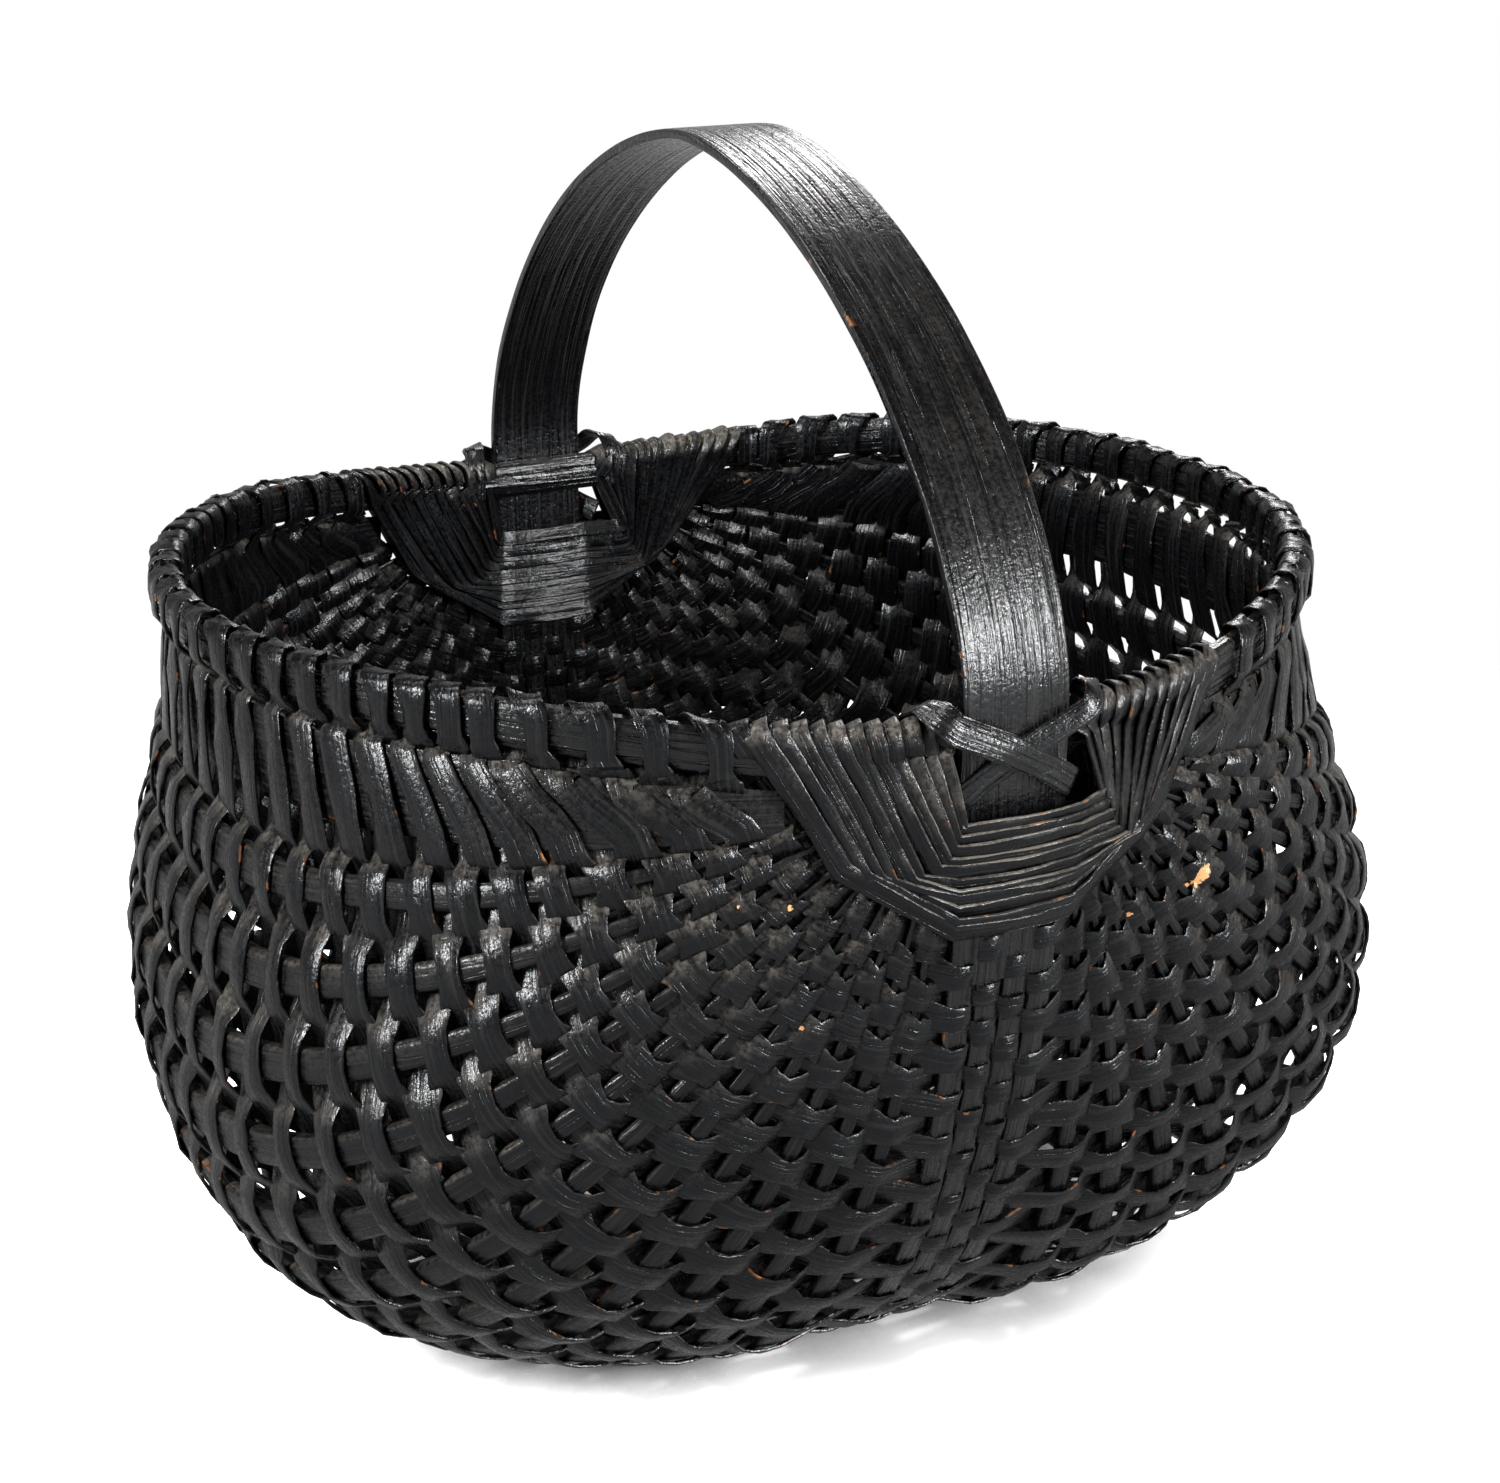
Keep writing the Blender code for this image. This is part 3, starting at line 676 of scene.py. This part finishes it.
def row_turn(side, row):
    """The splint's turn over the rim into the next row: centres, across, widths and recess."""
    q = row_middle(row)
    lift = abs(chance.normal(0, wrap_lift_jitter))
    centres, along, _ = rim_wrap(side, v_on_rim(q), v_on_rim(row_middle(row + 1)), lift)
    room = np.linalg.norm(on_wall(side, 0, q + row_half) - on_wall(side, 0, q - row_half))
    narrowing = np.minimum(1, 0.8 + 0.4 * np.sin(np.clip(wrap_angles, 0, pi)))
    recess = 0.8 * ease(1 - np.abs(np.sin(wrap_angles) + 0.6))
    return [centres, along, min(splint_width, room * wrap_share) * narrowing, recess]


def make_weave(material):
    """The woven rows as nine splints, each going up and down over the rim from row to row."""
    piece_ends = np.linspace(0, row_count, pieces_of_weave + 1).round().astype(int)
    for number, (first, last) in enumerate(zip(piece_ends, piece_ends[1:]), 1):
        weft = Weft()
        strips = []
        for row in range(first, last):
            strip = make_row(row)
            to_left = row % 2 == 0
            strips.append([values[::-1] if to_left else values for values in strip])
            strips.append(row_turn(left if to_left else right, row))
        centres, across, widths, recess = (np.concatenate(values) for values in zip(*strips))
        cuts = np.concatenate([[0], np.cumsum([len(strip[0]) for strip in strips])])
        tones = chance.uniform(0, 1, len(strips))
        for i in range(0, len(strips), 2):
            stretch = slice(cuts[i], min(cuts[i + 2] + 1, len(centres)))
            lay_splint(weft, centres[stretch], across[stretch], widths[stretch],
                       recess[stretch], tones[i])
        weft.done(f"weave_{number:02d}", material, f"splint_{number:02d}")


def wall_under(side, x, z):
    """The wall's t and v near the front ear at given places across and up."""
    depth, reach = np.abs(x) - half_band, lobe_radius(side, np.full(len(x), 0.5))
    t = np.clip(np.arctan2(depth, -z) * 2 / pi, 0, 1)
    v = np.arcsin(np.clip(np.hypot(depth, z) / reach, 0, 0.95)) / pi * 0.5
    for _ in range(14):
        here = wall_point(side, t, v)
        by_t = (wall_point(side, t + probe, v) - here) / probe
        by_v = (wall_point(side, t, v + probe) - here) / probe
        miss_x, miss_z = x - here[:, 0], z - here[:, 2]
        area = by_t[:, 0] * by_v[:, 2] - by_t[:, 2] * by_v[:, 0]
        area = np.where(np.abs(area) < 1e-9, 1e-9, area)
        turn_t = (miss_x * by_v[:, 2] - miss_z * by_v[:, 0]) / area
        turn_v = (miss_z * by_t[:, 0] - miss_x * by_t[:, 2]) / area
        t = np.clip(t + np.clip(turn_t, -0.1, 0.1), 0, 1)
        v = np.clip(v + np.clip(turn_v, -0.05, 0.05), 0.001, 0.5)
    return t, v


def wall_facing(side, t, v):
    """Wall points with their outward normals."""
    low_t, high_t = np.clip(t - probe, 0, 1), np.clip(t + probe, 0, 1)
    by_t = wall_point(side, high_t, v) - wall_point(side, low_t, v)
    by_v = wall_point(side, t, v + probe) - wall_point(side, t, v - probe)
    return wall_point(side, t, v), unit(np.cross(by_v, by_t)) * side


def ear_side(side, rim_distance, keel_distance, share, stray=0.0):
    """One strip's way from the rim to the keel: straight to its corner, then nearly level."""
    rim, _, _ = rim_place(side, np.array([v_at_share(rim_distance / rim_length)]))
    keel, _ = keel_place(0, np.array([keel_distance / keel_length]))
    start = np.array([rim[0, 0], rim[0, 2] - 0.0005])
    end = np.array([side * (half_band + 0.0004), keel[0, 2]])
    corner = (ear_corner_starts[side]
              + ear_corner_spreads[side] * share ** ear_corner_powers[side] + stray)
    level = ear_corner_level - ear_corner_drop * np.sin(ear_drop_turn * pi * min(share, 1))
    bend = np.array([side * (half_band + corner), max(level, keel[0, 2] + 0.0005)])
    line = smooth_path([start, bend, end], ear_points)
    return wall_under(side, line[:, 0], line[:, 1])


def ear_distances(share):
    """Distances from the ear's middle along the keel and along the rim."""
    return (ear_row_start + (ear_row_end - ear_row_start) * share,
            ear_rim_start + (ear_rim_end - ear_rim_start) * share)


def ear_pass(share, face):
    """One way across the ear, outside (1) or inside (-1): its points and ways out of the ear."""
    keel_distance, rim_distance = ear_distances(share)
    keel_distance += chance.normal(0, ear_keel_jitter)
    stray = chance.normal(0, ear_corner_jitter)
    reach = (hoop_thickness / 2 + splint_thickness + ear_reach_spare
             + ear_reach_play * chance.uniform(0, 1) + ear_reach_growth * (1 - share))
    parts = []
    for side in (left, right):
        points, out = wall_facing(side, *ear_side(side, rim_distance, keel_distance, share, stray))
        near_rim = 1 - np.clip(np.arange(len(points)) / ear_rise_points, 0, 1)
        lift = face * (reach + (wrap_out - reach) * near_rim)
        parts.append((points + out * lift[:, None], out * face))
    places = np.linspace(-half_band, half_band, ear_keel_points + 2)[1:-1]
    points, out = keel_place(places, keel_distance / keel_length)
    crown = 1 + ear_crown * np.cos(places / half_band * pi / 2)
    middle = (points + out * (face * reach * crown)[:, None], out * face)
    parts = [parts[0], middle, [values[::-1] for values in parts[1]]]
    return np.stack([np.concatenate(values) for values in zip(*parts)])[:, ::face]


def ear_wrap(side, first, last, turn, lift):
    """The ear splint going over the rim: its points and ways out of the rim."""
    slant = (ear_first_slant + ear_slant_growth * turn / ear_turns) / rim_length
    points, _, away = rim_wrap(side, first, last, lift, ear_wrap_angles, slant)
    return np.stack([points, away])


def pull_rows_to_ears():
    """Note how far the first rows must move to lie along the ear's last strip."""
    for side in (left, right):
        t, v = ear_side(side, ear_rim_end + 0.0020, ear_row_end + 0.0008, 1.08)
        levels, _ = wall_tables[side]
        columns = np.interp(v, wall_v, np.arange(len(wall_v))).round().astype(int)
        heights = [np.interp(-level, -levels[column], height_marks)
                   for level, column in zip(t, columns)]
        order = np.argsort(heights)
        heights = np.array(heights)[order]
        gap = row_v(side, ear_row_end / keel_length, heights) - v[order]
        ear_pull[side] = (heights, np.clip(gap, 0, None))


def make_ear(end, material):
    """One splint wound round the ear: outside across the keel, over the rim and back inside."""
    weft = Weft()
    over_left = None
    for turn in range(ear_turns):
        shares = (turn + np.array([0.5, 1.0, 1.5])) / ear_turns
        outer, inner = ear_pass(shares[0], 1), ear_pass(shares[1], -1)
        marks = v_at_share(ear_distances(shares)[1] / rim_length)
        lift = chance.uniform(0, ear_wrap_play)
        if over_left is None:
            over_left = ear_wrap(left, marks[0], marks[0], turn, lift)
        strips = [over_left[:, ::-1], outer, ear_wrap(right, marks[0], marks[1], turn, lift), inner]
        over_left = ear_wrap(left, marks[2], marks[1], turn, lift)
        wave = np.sin(np.linspace(0, pi, outer.shape[1]))
        on_rim = np.ones(len(ear_wrap_angles))
        pinched = ear_splint_width - ear_splint_pinch * wave
        widths = [on_rim * ear_splint_width, pinched] * 2
        recess = [on_rim * ear_recess, ear_recess + (1 - shares[0]) * wave ** 2,
                  on_rim * ear_recess, ear_inside_recess + 0 * wave]
        if turn == ear_turns - 1:
            strips.append(over_left[:, ::-1])
            widths.append(on_rim * ear_splint_width)
            recess.append(on_rim * ear_inside_recess)
        centres, away = np.concatenate(strips, axis=1)
        across = unit(np.cross(away, unit(np.gradient(centres, axis=0))))
        lay_splint(weft, centres * facings[end], across * facings[end], np.concatenate(widths),
                   np.concatenate(recess), chance.uniform(0, 1), ear_splint_thickness,
                   ear_splint_lean)
    weft.done(f"ear_{end}", material, f"{end}_ear_binding")


def round_bar(widths, depths, corners=12, squareness=0.6):
    """Sections of a bar with rounded corners."""
    turn = np.linspace(0, 2 * pi, corners, endpoint=False) + pi / corners
    x, y = power(np.cos(turn), squareness), power(np.sin(turn), squareness)
    edge = np.abs(x) ** 3
    return np.stack([np.outer(widths / 2, x), np.outer(depths / 2, y),
                     np.repeat(edge[None], len(widths), axis=0)], -1)


def make_rib(side, index, material):
    """One rib from ear to ear, fuller in the middle of its length."""
    start = (ear_row_end - rib_tuck) / keel_length
    q = start + (1 - 2 * start) * (1 - np.cos(np.linspace(0, pi, 90))) / 2
    upper, lower = rib_edges(side, index, q)
    wander = sway(q * keel_length, *rib_drift) / mid_span
    high, low = on_wall(side, upper + wander, q), on_wall(side, lower + wander, q)
    centres = on_wall(side, (upper + lower) / 2 + wander, q)
    across, out = path_frame(centres, high - low)
    widths = np.linalg.norm(high - low, axis=-1)
    widths = widths * (1 + sway(q * keel_length, *rib_width_sway))
    if index:
        widths = widths * (1 + stave_growth * np.sin(pi * q) ** 0.5)
    section = round_bar(widths, rib_depth(side, index, q), squareness=0.42)
    weft = Weft()
    weft.sweep(centres, across, out, section, 0.5 + 0 * q, chance.uniform(0, 1), rib_width)
    place = f"{'left' if side == left else 'right'}_{index + 1:02d}"
    weft.done(f"stave_{place}", material, f"rib_{place}")


def make_rim(material):
    """The rim hoop's core, which shows between the splints wrapped round it."""
    halves = [rim_place(side, v_at_share(np.linspace(*ends, 120)[:-1]))[:2]
              for side, ends in ((right, (0, 1)), (left, (1, 0)))]
    centres, out = (np.concatenate(values) for values in zip(*halves))
    up = np.tile([0.0, 0.0, 1.0], (len(centres), 1))
    count = np.ones(len(centres))
    weft = Weft()
    weft.sweep(centres, up, out, round_bar(count * rim_height, count * rim_thickness),
               0.5 * count, 0.37, rim_height, closed=True)
    weft.done("rim_core", material, "rim_hoop")


def make_handle(material):
    """The upright hoop: a plain band above the ears, four tongues side by side below them."""
    bend = np.linspace(0, pi, 2000)
    y = hoop_half_length * power(np.cos(bend), 2 / arch_fullness_share)
    z = handle_rise * np.sin(bend) ** (2 / arch_fullness_share)
    line = np.stack([0 * y, y + handle_lean * z / handle_rise, z], 1)
    arch = even_points(line, 161)
    tail_q = np.linspace(0, band_end_from_ear / keel_length, 22)[1:]
    front, _ = keel_place(0, tail_q)
    back, _ = keel_place(0, 1 - tail_q)
    centres = np.concatenate([back[::-1], arch, front])
    across, out = path_frame(centres, np.tile([1.0, 0.0, 0.0], (len(centres), 1)))
    run = run_along(centres)
    widths = handle_width * (1 + sway(run, *band_width_sway)) - 0.0003
    depths = hoop_thickness * (1 + sway(run, *band_thickness_sway))
    weft = Weft()
    weft.sweep(centres, across, out, round_bar(widths, depths, corners=40, squareness=0.16),
               0.15 + 0 * run, 0.61, handle_width)
    start = tongues_start_from_ear / keel_length
    q = np.linspace(start, 1 - start, 160)
    across, count = np.tile([1.0, 0.0, 0.0], (len(q), 1)), np.ones(len(q))
    for middle in tongue_middles:
        points, out = keel_place(middle + sway(q, *tongue_drift), q)
        widths = (tongue_pitch - tongue_slit) * (1 + sway(q, *tongue_width_sway))
        weft.sweep(points, across, out, round_bar(widths, count * hoop_thickness, squareness=0.4),
                   0.5 * count, chance.uniform(0, 1), tongue_pitch)
    weft.done("handle", material, "handle_hoop")


def even_points(line, count):
    """Points evenly spaced along a line."""
    run = run_along(line)
    even = np.linspace(0, run[-1], count)
    return np.stack([np.interp(even, run, values) for values in line.T], 1)


def smooth_path(marks, count):
    """A smooth line through marked points, evenly spaced."""
    line = even_points(np.array(marks, float), 400)
    kernel = np.hanning(2 * smoothing + 1)
    kernel /= kernel.sum()
    padded = np.pad(line, ((smoothing, smoothing), (0, 0)), "edge")
    line = np.stack([np.convolve(values, kernel, "valid") for values in padded.T], 1)
    return even_points(line, count)


def make_lashing(end, material):
    """Two strips crossed over the ear, each hooked over the rim at its top."""
    weft = Weft()
    inside = -hoop_half_length + 0.0075
    front = -hoop_half_length - hoop_thickness / 2
    top, low = -0.0020, -0.0215
    share = np.linspace(0, 1, 60)
    turns = (0, 0.12, 0.2, 0.28, 1)
    for side, lift, width in ((right, 0.0007, 0.0056), (left, 0.0021, 0.0062)):
        marks = [
            (0.0215, inside, top - 0.012), (0.0212, inside, top - 0.002),
            (0.0200, inside - 0.0035, top + 0.0020), (0.0185, front - 0.0012, top + 0.0012),
            (0.0165, front - 0.0030, top - 0.0015), (0.0040, front - lift - 0.0012, top - 0.0075),
            (-0.0080, front - lift, low + 0.0050), (-0.0135, front - lift + 0.0006, low + 0.0012),
            (-0.0170, front + 0.0050, low - 0.0010)]
        line = smooth_path(np.array(marks) * (side, 1, 1), len(share))
        out = np.stack([0 * share, np.interp(share, turns, (1, 0.6, 0, -1, -1)),
                        np.interp(share, turns, (0, 1, 1.5, 0.4, 0))], 1)
        across = unit(np.cross(unit(np.gradient(line, axis=0)), out))
        lay_splint(weft, line * facings[end], across * facings[end], np.full(len(share), width),
                   np.full(len(share), 0.1), chance.uniform(0, 1))
    weft.done(f"cross_{end}", material, f"{end}_lashing")


class Nodes:
    """Short calls for building a material's or a world's nodes."""

    def __init__(self, owner):
        owner.use_nodes = True
        self.tree = owner.node_tree

    def add(self, kind, **settings):
        node = self.tree.nodes.new(kind)
        for name, value in settings.items():
            setattr(node, name, value)
        return node

    def put(self, socket, value):
        if isinstance(value, bpy.types.NodeSocket):
            self.tree.links.new(value, socket)
        else:
            socket.default_value = value

    def fill(self, sockets, values):
        for socket, value in zip(sockets, values):
            self.put(socket, value)

    def math(self, operation, *values):
        node = self.add("ShaderNodeMath", operation=operation)
        self.fill(node.inputs, values)
        return node.outputs[0]

    def chain(self, operation, total, *others):
        for value in others:
            total = self.math(operation, total, value)
        return total

    def remap(self, value, low, high, out_low=0.0, out_high=1.0):
        node = self.add("ShaderNodeMapRange", interpolation_type="SMOOTHSTEP")
        self.fill(node.inputs, (value, low, high, out_low, out_high))
        return node.outputs[0]

    def attribute(self, name):
        return self.add("ShaderNodeAttribute", attribute_name=name).outputs["Fac"]

    def axis(self, vector, name):
        node = self.add("ShaderNodeSeparateXYZ")
        self.put(node.inputs[0], vector)
        return node.outputs[name]

    def distance(self, vector, place):
        node = self.add("ShaderNodeVectorMath", operation="DISTANCE")
        self.fill(node.inputs, (vector, place))
        return node.outputs["Value"]

    def noise(self, vector, scale, detail, roughness):
        node = self.add("ShaderNodeTexNoise")
        titles = ("Vector", "Scale", "Detail", "Roughness")
        self.fill([node.inputs[title] for title in titles], (vector, scale, detail, roughness))
        return node.outputs["Fac"]

    def grain(self, vector, along, across, detail, roughness):
        """Noise stretched along the splint, with its repeats per metre along and across."""
        node = self.add("ShaderNodeMapping")
        self.put(node.inputs["Vector"], vector)
        node.inputs["Scale"].default_value = (along, across, 1)
        return self.noise(node.outputs[0], 1, detail, roughness)

    def blend(self, share, first, second):
        node = self.add("ShaderNodeMix", data_type="RGBA")
        self.fill((node.inputs[0], node.inputs[6], node.inputs[7]), (share, first, second))
        return node.outputs[2]

    def bump(self, height, distance, normal=None):
        node = self.add("ShaderNodeBump")
        node.inputs["Distance"].default_value = distance
        self.put(node.inputs["Height"], height)
        if normal:
            self.put(node.inputs["Normal"], normal)
        return node.outputs[0]


def painted_wood(name, gloss=0.0, dust=1.0, wear=1.0, grain=1.0, coat=0.31, coat_roughness=0.12,
                 chipped=False):
    """Black paint over split wood: grain, brush sheen, dust in the hollows, bare worn edges."""
    material = bpy.data.materials.new(name)
    nodes = Nodes(material)
    inputs = nodes.tree.nodes["Principled BSDF"].inputs
    place = nodes.add("ShaderNodeTexCoord").outputs["Object"]
    grain_map = nodes.add("ShaderNodeUVMap", uv_map="grain").outputs[0]
    streaks = nodes.grain(grain_map, 26, 1100, 3, 0.55)
    fibres = nodes.grain(grain_map, 9, 380, 3, 0.6)
    split = nodes.grain(grain_map, 7, 330, 2, 0.5)
    split = nodes.remap(nodes.math("ABSOLUTE", nodes.math("SUBTRACT", split, 0.5)), 0.004, 0.022)
    lumps = nodes.noise(place, 900, 3, 0.6)
    blotches = nodes.noise(place, 55, 4, 0.6)
    patches = nodes.noise(place, 170, 3, 0.6)

    black = nodes.blend(nodes.remap(streaks, 0.50, 0.72), deep_black, thin_black)
    black = nodes.blend(split, crack_black, black)
    normal = nodes.add("ShaderNodeNewGeometry").outputs["Normal"]
    upward = nodes.remap(nodes.axis(normal, "Z"), -0.05, 0.75)
    sheltered = nodes.math("ADD", nodes.math("MULTIPLY", nodes.attribute("recess"), 0.55), 0.02)
    settled = nodes.chain(
        "MULTIPLY", upward, sheltered, nodes.remap(blotches, 0.30, 0.62, 0.35, 1.3),
        nodes.remap(lumps, 0.35, 0.65, 0.25, 1.0), nodes.remap(fibres, 0.36, 0.60, 0.15, 1.2), dust)
    dusted = nodes.blend(nodes.math("MINIMUM", settled, 0.85), black, dust_colour)
    rubbed = nodes.chain(
        "MULTIPLY", nodes.remap(nodes.attribute("edge"), 0.70, 1.0),
        nodes.remap(patches, 0.62, 0.68), nodes.remap(blotches, 0.43, 0.53), wear)
    worn = nodes.blend(nodes.remap(streaks, 0.35, 0.7), worn_dark, worn_light)
    colour = nodes.blend(nodes.math("MINIMUM", rubbed, 1.0), dusted, worn)
    if chipped:
        ragged, bare = nodes.remap(lumps, 0.2, 0.8, 0, 0.0012), 0.0
        for *chip, reach in chips:
            near = nodes.math("ADD", nodes.distance(place, chip), ragged)
            bare = nodes.math("MAXIMUM", nodes.remap(near, reach * 1.25, reach * 1.05), bare)
        colour = nodes.blend(bare, colour, nodes.blend(fibres, bare_dark, bare_light))
    nodes.put(inputs["Base Color"], colour)

    toned = nodes.math("MULTIPLY", nodes.math("SUBTRACT", nodes.attribute("tone"), 0.5), 0.12)
    sheen = nodes.chain(
        "ADD", nodes.remap(streaks, 0.3, 0.7, 0.14 - gloss, 0.36 - gloss), toned,
        nodes.math("MULTIPLY", settled, 0.5), nodes.remap(lumps, 0.40, 0.60, 0.0, 0.22))
    nodes.put(inputs["Roughness"], nodes.math("MINIMUM", sheen, 0.9))
    relief = nodes.bump(fibres, 0.00030 * grain)
    relief = nodes.bump(split, 0.00008 * grain, relief)
    relief = nodes.bump(streaks, 0.00009 * grain, relief)
    relief = nodes.bump(lumps, 0.00020, relief)
    nodes.put(inputs["Normal"], relief)
    nodes.put(inputs["Coat Normal"], relief)
    for title, value in (("Specular IOR Level", 0.12), ("Specular Tint", paint_tint),
                         ("Coat Weight", coat), ("Coat Roughness", coat_roughness)):
        inputs[title].default_value = value
    return material


def grey(level):
    return level, level, level, 1


def make_floor():
    """White paper with a painted contact shadow to the camera, and grey paper to other rays."""
    mesh = bpy.data.meshes.new("floor")
    corners = [(x * floor_reach, y * floor_reach, 0)
               for x, y in ((-1, -1), (1, -1), (1, 1), (-1, 1))]
    mesh.from_pydata(corners, [], [(0, 1, 2, 3)])
    material = bpy.data.materials.new("floor_white")
    mesh.materials.append(material)
    nodes = Nodes(material)
    nodes.tree.nodes.remove(nodes.tree.nodes["Principled BSDF"])
    rays = nodes.add("ShaderNodeLightPath").outputs
    direct = nodes.math("MAXIMUM", rays["Is Camera Ray"], rays["Is Transmission Ray"])
    mirrored = nodes.math("MULTIPLY", rays["Is Glossy Ray"], floor_mirror_share)
    seen = nodes.math("MAXIMUM", direct, mirrored)
    # Painted shadow: the paper's colour is darkened where the basket comes near it
    contact = nodes.add("ShaderNodeAmbientOcclusion", samples=16)
    contact.inputs["Distance"].default_value = painted_shadow_reach
    open_share = nodes.remap(contact.outputs["AO"], 0.05, 0.80)
    paper_and_painted_shadow = nodes.blend(open_share, grey(painted_shadow_level), grey(paper_level))
    paper = nodes.add("ShaderNodeBsdfDiffuse")
    nodes.put(paper.inputs["Color"], nodes.blend(direct, grey(floor_level), paper_and_painted_shadow))
    glow = nodes.add("ShaderNodeEmission")
    place = nodes.add("ShaderNodeTexCoord").outputs["Object"]
    far = nodes.math("MULTIPLY", nodes.remap(nodes.distance(place, (0, 0, 0)), 0.26, 0.60), seen)
    mix = nodes.add("ShaderNodeMixShader")
    nodes.fill(mix.inputs, (far, paper.outputs[0], glow.outputs[0]))
    nodes.put(nodes.tree.nodes["Material Output"].inputs["Surface"], mix.outputs[0])
    add_object("floor", mesh)


def make_world():
    """White to the camera, dimmer with height to reflections, and faint as light."""
    world = bpy.data.worlds.new("studio")
    scene.world = world
    nodes = Nodes(world)
    ground = nodes.tree.nodes["Background"]
    ground.inputs["Color"].default_value = grey(1)
    rays = nodes.add("ShaderNodeLightPath").outputs
    mirrored = nodes.math("MAXIMUM", rays["Is Glossy Ray"], rays["Is Transmission Ray"])
    seen = nodes.math("MAXIMUM", rays["Is Camera Ray"], mirrored)
    height = nodes.axis(nodes.add("ShaderNodeTexCoord").outputs["Generated"], "Z")
    wall = nodes.remap(height, 0.25, 0.60, horizon_level, world_level)
    shown = nodes.math("MAXIMUM", wall, rays["Is Camera Ray"])
    nodes.put(ground.inputs["Strength"], nodes.remap(seen, 0, 1, world_level, shown))


def aim(thing, place, target):
    thing.location = place
    thing.rotation_euler = (Vector(target) - Vector(place)).to_track_quat("-Z", "Y").to_euler()


def make_lamp(name, place, target, size, watts):
    data = bpy.data.lights.new(name, "AREA")
    data.shape = "RECTANGLE"
    data.size, data.size_y = size
    data.energy = watts
    aim(add_object(name, data), place, target)


def make_camera():
    data = bpy.data.cameras.new("camera")
    data.lens = camera_lens
    camera = add_object("camera", data)
    centre = Vector(basket_centre)
    aim(camera, centre + Vector(camera_place), centre + Vector(camera_target))
    bpy.context.scene.camera = camera


hoop_low, hoop_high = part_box("handle_hoop")
basket_centre = np.array([(hoop_low.x + hoop_high.x) / 2, (hoop_low.y + hoop_high.y) / 2,
                          hoop_high.z - handle_rise - hoop_thickness / 2])

splint_paint = painted_wood("splint_paint", chipped=True)
rib_paint = painted_wood("rib_paint", gloss=-0.06, wear=0.5)
hoop_paint = painted_wood("hoop_paint", gloss=0.02, dust=0.7, wear=0.8, grain=2.8, coat=0.62,
                          coat_roughness=0.18)
binding_paint = painted_wood("binding_paint", gloss=-0.05, dust=3.2, coat=0.28)

pull_rows_to_ears()
make_weave(splint_paint)
for end in ("front", "back"):
    make_ear(end, binding_paint)
    make_lashing(end, hoop_paint)
for side in (left, right):
    for index in range(ribs_per_lobe):
        make_rib(side, index, rib_paint)
make_rim(hoop_paint)
make_handle(hoop_paint)

make_floor()
make_world()
for lamp in lamps:
    make_lamp(*lamp)
make_camera()
scene.view_settings.view_transform = "Standard"
